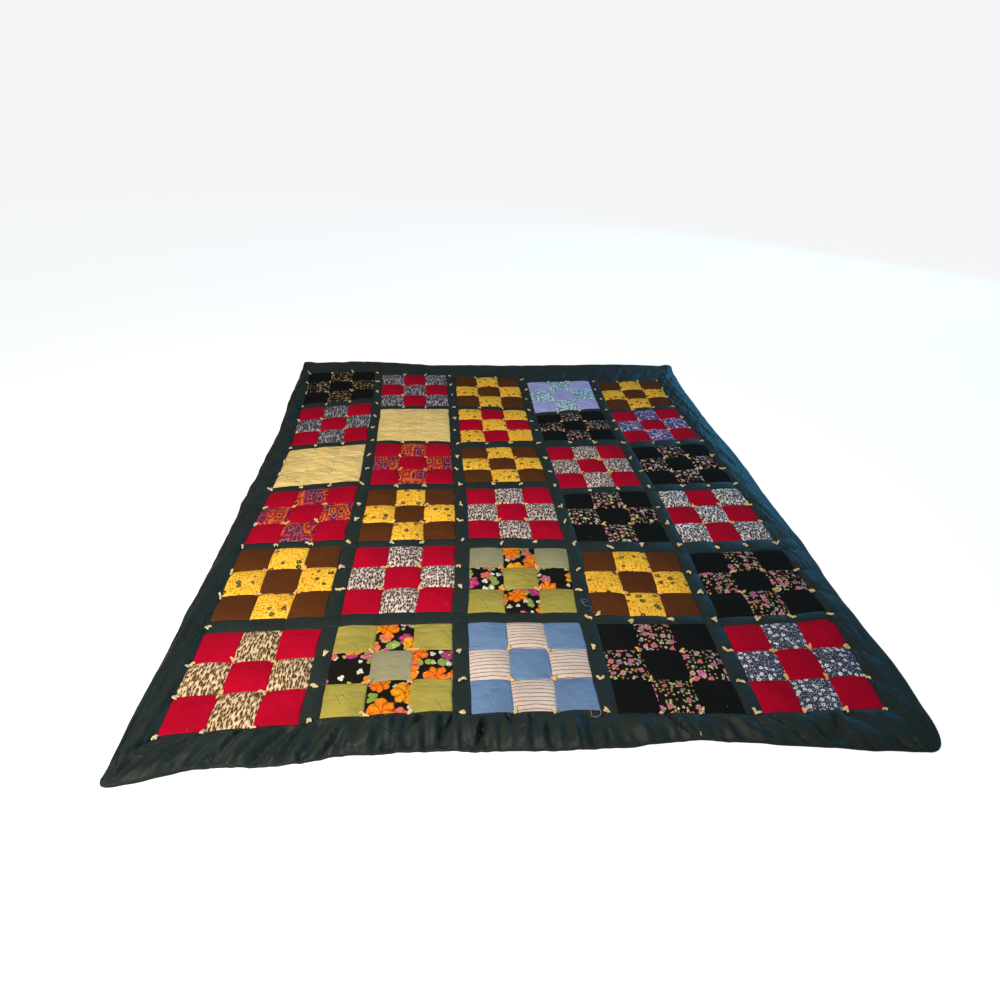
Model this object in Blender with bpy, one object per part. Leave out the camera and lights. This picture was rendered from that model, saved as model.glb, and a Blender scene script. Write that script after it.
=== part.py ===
"""A tied patchwork quilt, laid out flat: thirty padded blocks, the sashing strips between them and one
border frame. Each is a filled solid with a flat underside and a puffed top, and the strips meet at sewn
seams. Metres, +Z up. The underside lies on z = 0, +Y runs to the head end and the origin is under the
middle of the quilt."""

import math

import bmesh
import bpy
from mathutils import Matrix

# Driving sizes of the cloth
COLUMNS = 5
ROWS = 6
PATCHES = 3                      # patches along one side of a block
PATCH = 0.1017                   # finished patch, a four inch square
BLOCK = PATCHES * PATCH
LONG_SASH = 0.044                # width of the strips that run head to foot
SEAM_GAP = 0.00034               # between two pieces that are sewn edge to edge

# Thickness of the filled cloth
TIE_THICK = 0.009                # where a yarn tie draws it down
SEAM_THICK = 0.012               # along a seam, between two ties
PUFF_THICK = 0.021               # middle of a patch
SASH_PUFF_THICK = 0.016          # middle of a strip, between two ties
BORDER_PUFF_THICK = 0.022
EDGE_ROUND = 0.011               # height of the rolled outer edge
EDGE_TUCK = 0.97                 # share of the border's width that lies on the surface
PUFF_POWER = 0.6                 # below 1 the puff is flatter on top and steeper at its seams

# Rings of points across the border, from its seam to its outer edge: share of the width, share of the puff
BORDER_SECTION = (
    {"out": 0.00, "puff": 0.00},
    {"out": 0.22, "puff": 0.80},
    {"out": 0.55, "puff": 1.00},
    {"out": 0.84, "puff": 0.75},
    {"out": 0.97, "puff": 0.20},
)
PINCH_EVERY = 0.105              # spacing of the puckers along the border
PINCH_DEPTH = 0.35               # share of the puff that a pucker takes away
PINCH_PULL = 0.004               # how far a pucker draws the outer edge in

# How far each strip of blocks has slipped lengthwise at each seam line, in mm towards the head,
# at the strip's left and right side. Line 0 is the head seam, line 6 the foot seam.
SLIP_MM = (
    {"c1": (30, 60), "c2": (25, 50), "c3": (20, 40), "c4": (-20, 15), "c5": (-5, 25)},
    {"c1": (-10, 60), "c2": (-20, 0), "c3": (0, 5), "c4": (-50, 0), "c5": (-15, 30)},
    {"c1": (-50, 5), "c2": (0, 5), "c3": (-15, 5), "c4": (0, 20), "c5": (-5, 30)},
    {"c1": (-20, 25), "c2": (-5, 5), "c3": (10, 25), "c4": (-25, 0), "c5": (0, 20)},
    {"c1": (-10, 10), "c2": (0, 10), "c3": (5, 5), "c4": (-10, -10), "c5": (-15, -5)},
    {"c1": (-15, -5), "c2": (5, 10), "c3": (5, 5), "c4": (-5, -5), "c5": (-15, 0)},
    {"c1": (-30, -10), "c2": (5, 15), "c3": (5, 10), "c4": (0, -5), "c5": (-5, 0)},
)

# At each seam line, in mm: its sideways sway at the left, middle and right of the quilt, and where the
# outer edge of the left and right border lies
LINES_MM = (
    {"left": -35, "middle": -28, "right": -12, "left_edge": -940, "right_edge": 964},
    {"left": -5, "middle": -20, "right": -24, "left_edge": -930, "right_edge": 947},
    {"left": 20, "middle": -14, "right": -8, "left_edge": -908, "right_edge": 938},
    {"left": 20, "middle": 0, "right": 4, "left_edge": -913, "right_edge": 944},
    {"left": 7, "middle": 6, "right": 6, "left_edge": -910, "right_edge": 956},
    {"left": 10, "middle": -7, "right": -3, "left_edge": -915, "right_edge": 944},
    {"left": 4, "middle": -9, "right": -17, "left_edge": -920, "right_edge": 929},
)

# Where the outer edge of the head and foot border lies, in mm, at even steps from left to right
END_EDGES_MM = (
    {"head": 1210, "foot": -1205},
    {"head": 1238, "foot": -1152},
    {"head": 1222, "foot": -1132},
    {"head": 1235, "foot": -1140},
    {"head": 1250, "foot": -1130},
    {"head": 1268, "foot": -1153},
    {"head": 1262, "foot": -1168},
)

# Width of each short sash, between row n and row n + 1, in mm
SHORT_SASH_MM = (
    {"c1": 54, "c2": 34, "c3": 36, "c4": 30, "c5": 32},
    {"c1": 38, "c2": 28, "c3": 58, "c4": 62, "c5": 56},
    {"c1": 38, "c2": 44, "c3": 51, "c4": 44, "c5": 52},
    {"c1": 36, "c2": 37, "c3": 55, "c4": 57, "c5": 63},
    {"c1": 49, "c2": 48, "c3": 42, "c4": 34, "c5": 35},
)
SHORT_SASH = 0.052               # nominal width, between evenly spaced rows

# How much the filling has gathered under the cloth, in mm, at the head edge and then at each seam line:
# low waves that run across the quilt from its left side over the four long strips to its right side
WAVES_MM = (
    {"left": 9, "s1": 12, "s2": 12, "s3": 14, "s4": 17, "right": 16},
    {"left": 10, "s1": 13, "s2": 12, "s3": 7, "s4": 8, "right": 11},
    {"left": 2, "s1": 8, "s2": 4, "s3": 0, "s4": 3, "right": 10},
    {"left": 0, "s1": 4, "s2": 3, "s3": 4, "s4": 6, "right": 10},
    {"left": 0, "s1": 6, "s2": 6, "s3": 4, "s4": 4, "right": 9},
    {"left": 1, "s1": 5, "s2": 6, "s3": 3, "s4": 0, "right": 3},
    {"left": 0, "s1": 4, "s2": 7, "s3": 5, "s4": 0, "right": 3},
    {"left": 0, "s1": 3, "s2": 9, "s3": 7, "s4": 2, "right": 2},
)
HEAD_BORDER = 0.200              # from the head seam to the first row of the table above
WAVE_COLUMNS = ("left", "s1", "s2", "s3", "s4", "right")

# Colours of the cloths
TEAL = (0.030, 0.062, 0.062)
RED = (0.300, 0.012, 0.034)
BROWN = (0.085, 0.036, 0.016)
BLACK = (0.012, 0.012, 0.013)
YELLOW = (0.760, 0.610, 0.250)
GOLD = (0.730, 0.500, 0.090)
OLIVE = (0.320, 0.390, 0.170)
BLUE = (0.190, 0.320, 0.600)
LAVENDER = (0.400, 0.350, 0.620)
SLATE = (0.250, 0.250, 0.330)
GREY = (0.420, 0.400, 0.370)

# The cloth that leads in each block, head row first
BLOCK_COLOURS = (
    (BLACK, SLATE, BROWN, LAVENDER, BROWN),
    (RED, YELLOW, GOLD, BLACK, RED),
    (YELLOW, RED, BROWN, RED, BLACK),
    (RED, BROWN, RED, BLACK, GREY),
    (BROWN, RED, OLIVE, BROWN, BLACK),
    (RED, OLIVE, BLUE, BLACK, RED),
)

PITCH_X = BLOCK + LONG_SASH
PITCH_Y = BLOCK + SHORT_SASH
FIELD_WIDTH = COLUMNS * PITCH_X - LONG_SASH
FIELD_LENGTH = ROWS * PITCH_Y - SHORT_SASH


def clear_scene():
    for item in list(bpy.data.objects):
        bpy.data.objects.remove(item, do_unlink=True)


def lerp(a, b, share):
    return a + (b - a) * share


def lerp_points(a, b, share):
    return (lerp(a[0], b[0], share), lerp(a[1], b[1], share))


def eased(values, place):
    """Value between the entries of a short table, eased from each to the next."""
    place = min(max(place, 0.0), len(values) - 1.001)
    index = int(place)
    share = place - index
    return lerp(values[index], values[index + 1], share * share * (3 - 2 * share))


def seam_line(y):
    """Place along the quilt, counted in seam lines from the head seam."""
    return (FIELD_LENGTH / 2 - y) / PITCH_Y


def sway(line, across):
    """Sideways shift of a seam line, a parabola through its three named values."""
    row = LINES_MM[line]
    middle = row["middle"]
    slope = (row["right"] - row["left"]) / 2
    bend = (row["right"] + row["left"]) / 2 - middle
    return 0.001 * (middle + slope * across + bend * across * across)


def seam_point(edge, level):
    """Plan place of a block corner. Edges count the strips' long sides from the left, 0 to 9, and levels
    count the rows' head and foot seams from the head, 0 to 11."""
    column, side = divmod(edge, 2)
    line = (level + 1) // 2
    name = f"c{column + 1}"
    x = -FIELD_WIDTH / 2 + column * PITCH_X + side * BLOCK
    y = FIELD_LENGTH / 2 - line * PITCH_Y
    if line == ROWS:
        y += SHORT_SASH
    elif line > 0:
        half_sash = SHORT_SASH_MM[line - 1][name] * 0.0005
        y += SHORT_SASH / 2 + (half_sash if level % 2 else -half_sash)
    x += sway(line, x / (FIELD_WIDTH / 2))
    y += SLIP_MM[line][name][side] * 0.001
    return (x, y)


SEAMS = [[seam_point(edge, level) for level in range(2 * ROWS)] for edge in range(2 * COLUMNS)]


def cell_point(edge, level, s, t):
    """Plan place inside the cell whose head left corner is at this edge and level."""
    head = lerp_points(SEAMS[edge][level], SEAMS[edge + 1][level], s)
    foot = lerp_points(SEAMS[edge][level + 1], SEAMS[edge + 1][level + 1], s)
    return lerp_points(head, foot, t)


def wave(x, y):
    """Height of the gathered filling under this point."""
    across = (x / FIELD_WIDTH + 0.5) * (len(WAVE_COLUMNS) - 1)
    line = seam_line(y)
    along = 1 + line if line > 0 else 1 + line * PITCH_Y / HEAD_BORDER
    columns = [eased([row[name] for row in WAVES_MM], along) for name in WAVE_COLUMNS]
    return 0.001 * eased(columns, across)


def arch(share):
    """0 at both ends of a patch's side, 1 in its middle."""
    return max(4 * share * (1 - share), 0.0) ** PUFF_POWER


def puff(s, t, middle):
    """Thickness over a square of cloth that is tied at its corners and sewn along its sides."""
    along_seam = TIE_THICK + (SEAM_THICK - TIE_THICK) * max(arch(s), arch(t))
    return along_seam + (middle - SEAM_THICK) * arch(s) * arch(t)


def material(name, colour):
    made = bpy.data.materials.new(name)
    made.use_nodes = True
    shader = made.node_tree.nodes["Principled BSDF"]
    shader.inputs["Base Color"].default_value = (*colour, 1.0)
    shader.inputs["Roughness"].default_value = 0.9
    shader.inputs["Metallic"].default_value = 0.0
    return made


def add_object(bm, name, colour, collection):
    bmesh.ops.recalc_face_normals(bm, faces=bm.faces)
    mesh = bpy.data.meshes.new(name)
    bm.to_mesh(mesh)
    bm.free()
    mesh.shade_smooth()
    mesh.set_sharp_from_angle(angle=math.radians(50))
    piece = bpy.data.objects.new(name, mesh)
    piece.data.materials.append(material(name + "_cloth", colour))
    collection.objects.link(piece)


def padded_patchwork(shares_s, shares_t, place, thickness):
    """A filled piece: a grid for the puffed top, its rim drawn straight down and a flat underside."""
    bm = bmesh.new()
    bmesh.ops.create_grid(bm, x_segments=len(shares_s) - 1, y_segments=len(shares_t) - 1, size=1.0)
    for vert in bm.verts:
        s = shares_s[round((vert.co.x + 1) / 2 * (len(shares_s) - 1))]
        t = shares_t[round((1 - vert.co.y) / 2 * (len(shares_t) - 1))]
        x, y = place(s, t)
        vert.co = (x, y, thickness(s, t) + wave(x, y))
    rim = [edge for edge in bm.edges if edge.is_boundary]
    walls = bmesh.ops.extrude_edge_only(bm, edges=rim)["geom"]
    for vert in (item for item in walls if isinstance(item, bmesh.types.BMVert)):
        vert.co.z = 0.0
    rim = [edge for edge in bm.edges if edge.is_boundary]
    base = bmesh.ops.edgeloop_fill(bm, edges=rim)["faces"]
    bmesh.ops.poke(bm, faces=base)
    return bm


def trimmed(share, size):
    """The share of a cell's side, kept half a seam gap away from both ends."""
    margin = SEAM_GAP / 2 / size
    return lerp(margin, 1 - margin, share)


def patch_shares(breaks):
    """Shares along a block's side, with these breaks in each patch."""
    return [(patch + part) / PATCHES for patch in range(PATCHES) for part in breaks] + [1.0]


def build_block(row, column, collection):
    shares = patch_shares((0.0, 0.22, 0.78))

    def place(s, t):
        return cell_point(2 * column, 2 * row, trimmed(s, BLOCK), trimmed(t, BLOCK))

    def thickness(s, t):
        return puff(s * PATCHES % 1.0, t * PATCHES % 1.0, PUFF_THICK)

    bm = padded_patchwork(shares, shares, place, thickness)
    add_object(bm, f"block_r{row + 1}_c{column + 1}", BLOCK_COLOURS[row][column], collection)


def build_short_sash(row, column, collection):
    width = SHORT_SASH_MM[row][f"c{column + 1}"] * 0.001

    def place(s, t):
        return cell_point(2 * column, 2 * row + 1, trimmed(s, BLOCK), trimmed(t, width))

    def thickness(s, t):
        return puff(s * PATCHES % 1.0, t, SASH_PUFF_THICK)

    bm = padded_patchwork(patch_shares((0.0, 0.5)), (0.0, 0.5, 1.0), place, thickness)
    add_object(bm, f"sash_short_c{column + 1}_r{row + 1}", TEAL, collection)


def sewn_stations(cells):
    """Stations along a long seam: each is the cell's number and the share along it. Even cells are
    blocks, with six steps each, and odd cells are the ends of strips, with one."""
    steps = 2 * PATCHES
    found = []
    for cell in range(cells):
        parts = steps if cell % 2 == 0 else 1
        found += [(cell, part / parts) for part in range(parts)]
    return found + [(cells - 1, 1.0)]


def between_ties(cell, share):
    """Share of the way between two ties, along a block's side or across a strip's end."""
    return share * PATCHES % 1.0 if cell % 2 == 0 else share


def sweep(sections, closed):
    """A strip from its sections, each a ring of as many points. A closed strip comes back to its start,
    and an open one gets its two ends filled."""
    rings = len(sections) - (0 if closed else 1)
    around = len(sections[0])
    bm = bmesh.new()
    bmesh.ops.create_grid(bm, x_segments=rings, y_segments=around, size=1.0)
    for vert in bm.verts:
        ring = round((vert.co.x + 1) / 2 * rings) % len(sections)
        point = round((vert.co.y + 1) / 2 * around) % around
        vert.co = sections[ring][point]
    bmesh.ops.remove_doubles(bm, verts=bm.verts, dist=0.00001)
    if not closed:
        ends = [edge for edge in bm.edges if edge.is_boundary]
        bmesh.ops.holes_fill(bm, edges=ends, sides=around)
    return bm


def build_long_sash(number, collection):
    """The strip between two strips of blocks: a puffed top on two straight walls."""
    edge = 2 * number + 1
    stations = sewn_stations(2 * ROWS - 1)
    end_gap = SEAM_GAP / 2 / BLOCK
    sections = []
    for index, (level, share) in enumerate(stations):
        inner = share
        if index == 0:
            inner = end_gap
        elif index == len(stations) - 1:
            inner = 1 - end_gap
        section = []
        for across, top in ((0, False), (0, True), (0.5, True), (1, True), (1, False)):
            x, y = cell_point(edge, level, trimmed(across, LONG_SASH), inner)
            z = puff(across, between_ties(level, share), SASH_PUFF_THICK) + wave(x, y)
            section.append((x, y, z if top else 0.0))
        sections.append(section)
    add_object(sweep(sections, closed=False), f"sash_long_{number + 1}", TEAL, collection)


def field_rim():
    """Points along the seam round the blocks, clockwise from the head left corner. Each has its plan
    place, the side it is on, the way out of the blocks and its place between two ties."""
    across = sewn_stations(2 * COLUMNS - 1)
    down = sewn_stations(2 * ROWS - 1)
    foot = 2 * ROWS - 1
    right = 2 * COLUMNS - 1
    sides = (
        {"side": "head", "out": (0, 1), "corner": (-1, 1), "stations": across[:-1]},
        {"side": "right", "out": (1, 0), "corner": (1, 1), "stations": down[:-1]},
        {"side": "foot", "out": (0, -1), "corner": (1, -1), "stations": across[:0:-1]},
        {"side": "left", "out": (-1, 0), "corner": (-1, -1), "stations": down[:0:-1]},
    )
    ends = {
        "head": lambda cell: (SEAMS[cell][0], SEAMS[cell + 1][0]),
        "right": lambda cell: (SEAMS[right][cell], SEAMS[right][cell + 1]),
        "foot": lambda cell: (SEAMS[cell][foot], SEAMS[cell + 1][foot]),
        "left": lambda cell: (SEAMS[0][cell], SEAMS[0][cell + 1]),
    }
    rim = []
    for row in sides:
        for index, (cell, share) in enumerate(row["stations"]):
            start, end = ends[row["side"]](cell)
            rim.append({
                "place": lerp_points(start, end, share),
                "side": row["side"],
                "out": row["corner"] if index == 0 else row["out"],
                "tie": between_ties(cell, share),
            })
    return rim


def outer_edge(x, y, side):
    """Place on the quilt's outer edge across the border from this point of its seam. Along each side the
    direction turns evenly from one corner's diagonal to the other's, as the mitred cloth does."""
    left = 0.001 * eased([row["left_edge"] for row in LINES_MM], seam_line(y))
    right = 0.001 * eased([row["right_edge"] for row in LINES_MM], seam_line(y))
    if side in ("head", "foot"):
        share = min(max(x / FIELD_WIDTH + 0.5, 0.0), 1.0)
        outer_x = lerp(left, right, share)
    else:
        outer_x = left if side == "left" else right
    across = (outer_x - left) / (right - left) * (len(END_EDGES_MM) - 1)
    head = 0.001 * eased([row["head"] for row in END_EDGES_MM], across)
    foot = 0.001 * eased([row["foot"] for row in END_EDGES_MM], across)
    if side in ("head", "foot"):
        return outer_x, head if side == "head" else foot
    share = min(max(y / FIELD_LENGTH + 0.5, 0.0), 1.0)
    return outer_x, lerp(foot, head, share)


def build_border(collection):
    """The frame round the blocks: a straight wall at its seam, a puckered puff and a rolled edge."""
    sections = []
    travelled = 0.0
    before = None
    for point in field_rim():
        x, y = point["place"]
        if before:
            travelled += math.dist(before, (x, y))
        before = (x, y)
        edge_x, edge_y = outer_edge(x, y, point["side"])
        dx, dy = edge_x - x, edge_y - y
        reach = math.hypot(dx, dy)
        pinch = 0.5 + 0.5 * math.cos(2 * math.pi * travelled / PINCH_EVERY)
        pull = 1 - PINCH_PULL * pinch / reach
        seam_x = x + SEAM_GAP / 2 * point["out"][0]
        seam_y = y + SEAM_GAP / 2 * point["out"][1]
        section = []
        for ring in BORDER_SECTION:
            px = lerp(seam_x, x + dx * pull, ring["out"])
            py = lerp(seam_y, y + dy * pull, ring["out"])
            low = TIE_THICK + (SEAM_THICK - TIE_THICK) * arch(point["tie"])
            low = lerp(low, EDGE_ROUND, ring["out"])
            rise = (BORDER_PUFF_THICK - SEAM_THICK) * ring["puff"] * (1 - PINCH_DEPTH * pinch)
            section.append((px, py, low + rise + wave(px, py)))
        section.append((x + dx * pull, y + dy * pull, EDGE_ROUND / 2))
        section.append((x + dx * EDGE_TUCK * pull, y + dy * EDGE_TUCK * pull, 0.0))
        section.append((seam_x, seam_y, 0.0))
        sections.append(section)
    add_object(sweep(sections, closed=True), "border", TEAL, collection)


def centre_on_origin(collection):
    """Moves every mesh so that the middle of the quilt's box stands over the origin."""
    points = [vert.co for piece in collection.objects for vert in piece.data.vertices]
    middle_x = (min(point.x for point in points) + max(point.x for point in points)) / 2
    middle_y = (min(point.y for point in points) + max(point.y for point in points)) / 2
    shift = Matrix.Translation((-middle_x, -middle_y, 0.0))
    for piece in collection.objects:
        piece.data.transform(shift)


def main():
    clear_scene()
    collection = bpy.data.collections.new("patchwork_quilt")
    bpy.context.scene.collection.children.link(collection)
    for row in range(ROWS):
        for column in range(COLUMNS):
            build_block(row, column, collection)
    for row in range(ROWS - 1):
        for column in range(COLUMNS):
            build_short_sash(row, column, collection)
    for number in range(COLUMNS - 1):
        build_long_sash(number, collection)
    build_border(collection)
    centre_on_origin(collection)


main()
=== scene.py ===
"""Looks of a tied patchwork quilt, laid out flat: padded blocks of nine patches, the strips between them,
a puckered border and yarn ties. Metres, +Z up, +Y to the head end. The places of the seams and of the
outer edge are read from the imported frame."""

import functools
import math
import random

import bmesh
import bpy
from mathutils import Matrix, Vector, kdtree, noise


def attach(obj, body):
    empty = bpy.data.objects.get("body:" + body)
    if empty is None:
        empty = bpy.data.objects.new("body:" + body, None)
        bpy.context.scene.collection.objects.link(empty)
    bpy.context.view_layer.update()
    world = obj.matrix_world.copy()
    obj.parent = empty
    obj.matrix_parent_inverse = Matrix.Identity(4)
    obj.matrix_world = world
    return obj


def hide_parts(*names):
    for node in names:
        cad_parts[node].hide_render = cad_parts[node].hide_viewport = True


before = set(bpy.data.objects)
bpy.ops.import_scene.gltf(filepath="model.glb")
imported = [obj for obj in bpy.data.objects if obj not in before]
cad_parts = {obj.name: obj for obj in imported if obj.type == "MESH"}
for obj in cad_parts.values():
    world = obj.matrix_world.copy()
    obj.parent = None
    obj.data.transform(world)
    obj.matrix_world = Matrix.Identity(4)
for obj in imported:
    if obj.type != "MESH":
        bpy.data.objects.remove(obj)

bl_info = {
    "name": "Tied Patchwork Quilt",
    "version": (1, 0, 0),
    "blender": (4, 5, 0),
    "location": "View3D > Sidebar > Quilt",
    "description": "Builds a tied patchwork quilt over its packed frame",
    "category": "Add Mesh",
}

COLUMNS = 5
ROWS = 6
PATCHES = 3                      # patches along one side of a block
SEAM_GAP = 0.00034               # between two pieces that are sewn edge to edge
ON_SURFACE = 0.0001              # a point of the frame below this height lies on the surface

PATCH_CELLS = 26                 # mesh cells along one side of a patch
STRIP_CELLS = 10                 # mesh cells across a strip
BORDER_CELLS = 12                # mesh cells for each step of the border's seam
CELL_CROWDING = 0.4              # 0 for even cells, 1 for cells drawn close to the seams
SHARP_ANGLE = math.radians(50)

ALL_OVER_SEED = 7
TIES_SEED = 500                  # to which the number of a row of ties is added
CLOTH_MAP = "cloth"              # name of the map that holds metres along the cloth


# ---------------------------------------------------------------- settings


def length(name, description, default, most=0.2):
    """A setting in metres."""
    return bpy.props.FloatProperty(
        name=name, description=description, default=default, min=0.0, max=most, unit="LENGTH", precision=4
    )


def colour(name, description, default):
    """A setting that is a colour."""
    return bpy.props.FloatVectorProperty(
        name=name, description=description, default=default, min=0.0, max=1.0, size=3, subtype="COLOR"
    )


class QuiltSizes(bpy.types.PropertyGroup):
    """Thickness and relief of the filled cloth"""

    patch: length("Patch", "Side of a finished patch", 0.1017)
    tie_thick: length("At a tie", "Thickness where a yarn tie draws the quilt down", 0.009)
    seam_thick: length("At a seam", "Thickness along a seam, between two ties", 0.012)
    patch_puff: length("Patch puff", "Thickness in the middle of a patch", 0.0190)
    strip_puff: length("Strip puff", "Thickness in the middle of a strip", 0.016)
    border_puff: length("Border puff", "Thickness in the middle of the border", 0.021)
    edge_round: length("Edge", "Thickness of the rolled outer edge", 0.011)
    lumps: length("Lumps", "Unevenness of the filling", 0.0016)
    dimple: length("Dimple", "Depth of the dimple under a tie", 0.0030)
    pleats: length("Pleats", "Height of the small pleats round a tie", 0.0009)
    allowance: length("Seam allowance", "Ridge of the folded cloth beside a seam", 0.0006)
    folds: length("Border folds", "Depth of the folds in the border", 0.0150)
    creases: length("Creases", "Depth of the creases in the flatter blocks", 0.0029)
    hump: length("Hump", "Height of the broad rise at the head left corner", 0.0080)
    wander: length("Wander", "How far seams wander to the side", 0.0032)


class QuiltYarn(bpy.types.PropertyGroup):
    """The yarn of the ties"""

    thickness: length("Yarn", "Thickness of the yarn", 0.0060)
    tail: length("Tail", "Length of a tie's free end", 0.0130)
    knot: length("Knot", "Width of the knot", 0.0095)


class QuiltColours(bpy.types.PropertyGroup):
    """Colours of the cloths and the yarn"""

    teal: colour("Teal", "Strips, border and backing", (0.0182, 0.0270, 0.0260))
    red: colour("Red", "Crimson cloth", (0.42, 0.0020, 0.021))
    brown: colour("Brown", "Chocolate cloth", (0.100, 0.031, 0.0090))
    black: colour("Black", "Black cloth", (0.0078, 0.0082, 0.0084))
    yellow: colour("Yellow", "Pale yellow cloth", (0.85, 0.615, 0.232))
    olive: colour("Olive", "Olive green cloth", (0.365, 0.310, 0.066))
    sage: colour("Sage", "Grey green cloth", (0.300, 0.285, 0.170))
    blue: colour("Blue", "Cornflower cloth", (0.140, 0.235, 0.425))
    lavender: colour("Lavender", "Lavender cloth", (0.410, 0.425, 0.790))
    gold: colour("Gold", "Ground of the gold print", (0.98, 0.54, 0.046))
    cream_yarn: colour("Cream yarn", "Palest yarn", (0.88, 0.80, 0.47))
    thread: colour("Thread", "Loose thread at the foot end", (0.30, 0.34, 0.40))
    gold_yarn: colour("Gold yarn", "Deepest yarn", (1.00, 0.57, 0.175))


class QuiltStage(bpy.types.PropertyGroup):
    """Floor, camera and lights"""

    floor: colour("Floor", "Colour of the floor", (0.50, 0.50, 0.50))
    lens: bpy.props.FloatProperty(
        name="Lens", description="Focal length in millimetres", default=24.48, min=10.0, max=200.0
    )
    window: bpy.props.FloatProperty(
        name="Window", description="Power of the cool light at the head end", default=78.0, min=0.0
    )
    lamp: bpy.props.FloatProperty(
        name="Lamp", description="Power of the warm light at the foot end", default=28.0, min=0.0
    )
    sky: bpy.props.FloatProperty(
        name="Surround", description="Strength of the even light", default=0.27, min=0.0
    )
    glow: bpy.props.FloatProperty(
        name="Floor glow", description="Light that the floor gives off by itself", default=0.80, min=0.0
    )


# ---------------------------------------------------------------- the frame's seams


def cad_points(node):
    """The distinct points of a frame node."""
    return {tuple(round(value, 5) for value in vert.co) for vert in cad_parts[node].data.vertices}


def block_corners(row, column, tie_thick):
    """Plan place and lift of a block's four corners on the frame, keyed by the way they point."""
    points = cad_points(f"block_r{row + 1}_c{column + 1}")
    base = [point for point in points if point[2] < ON_SURFACE]
    found = {}
    for way in ((-1, 1), (1, 1), (1, -1), (-1, -1)):
        x, y, _ = max(base, key=lambda point: way[0] * point[0] + way[1] * point[1])
        top = max(z for px, py, z in points if math.dist((px, py), (x, y)) < ON_SURFACE)
        found[way] = Vector((x, y, top - tie_thick))
    return found


def read_seams(tie_thick):
    """Plan place and lift where two seams meet. Edges count the blocks' sides from the left, 0 to 9, and
    levels count their head and foot seams from the head, 0 to 11."""
    seams = [[None] * (2 * ROWS) for _ in range(2 * COLUMNS)]
    for row in range(ROWS):
        for column in range(COLUMNS):
            corners = block_corners(row, column, tie_thick)
            for (right, head), point in corners.items():
                seams[2 * column + (right > 0)][2 * row + (head < 0)] = point
    return seams


def read_outer_edge():
    """The frame's outer edge, clockwise from its head left corner."""
    points = cad_points("border")
    height = min(point[2] for point in points if point[2] > ON_SURFACE)
    edge = [Vector(point[:2]) for point in points if abs(point[2] - height) < ON_SURFACE]
    edge.sort(key=lambda point: -math.atan2(point.y, point.x))
    first = max(range(len(edge)), key=lambda index: edge[index].y - edge[index].x)
    return edge[first:] + edge[:first]


# ---------------------------------------------------------------- the lie of the cloth


def lerp(a, b, share):
    return a + (b - a) * share


def ease(value, low, high):
    """0 below low, 1 above high, and a smooth step between them."""
    share = min(max((value - low) / (high - low), 0.0), 1.0)
    return share * share * (3 - 2 * share)


def pulled(point, middle, reach, pull):
    """How a pull on the cloth moves a point in plan: in full at its middle and not at all at its reach."""
    return pull * max(1 - (point - middle).length_squared / reach**2, 0.0) ** 1.5


def arch(share, power=0.6):
    """0 at both ends of a patch's side, 1 in its middle."""
    return max(4 * share * (1 - share), 0.0) ** power


def stations(first, last, cells):
    """Steps along a run of patches, as pairs of the patch's number and the share along it. The steps are
    closer beside the seams."""
    found = []
    for patch in range(first, last):
        for cell in range(cells):
            even = cell / cells
            crowded = 0.5 - 0.5 * math.cos(math.pi * even)
            found.append((patch, lerp(even, crowded, CELL_CROWDING)))
    return found + [(last - 1, 1.0)]


def tie_stations(cells):
    """Where ties stand across a run of blocks and strips: at the outer seams, at the seams inside the
    blocks and in the middle of the strips, as pairs of the cell's number and the share along it."""
    found = [(0, 0.0)]
    for cell in range(cells):
        found += [(cell, 1 / 3), (cell, 2 / 3)] if cell % 2 == 0 else [(cell, 0.5)]
    return found + [(cells - 1, 1.0)]


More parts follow.
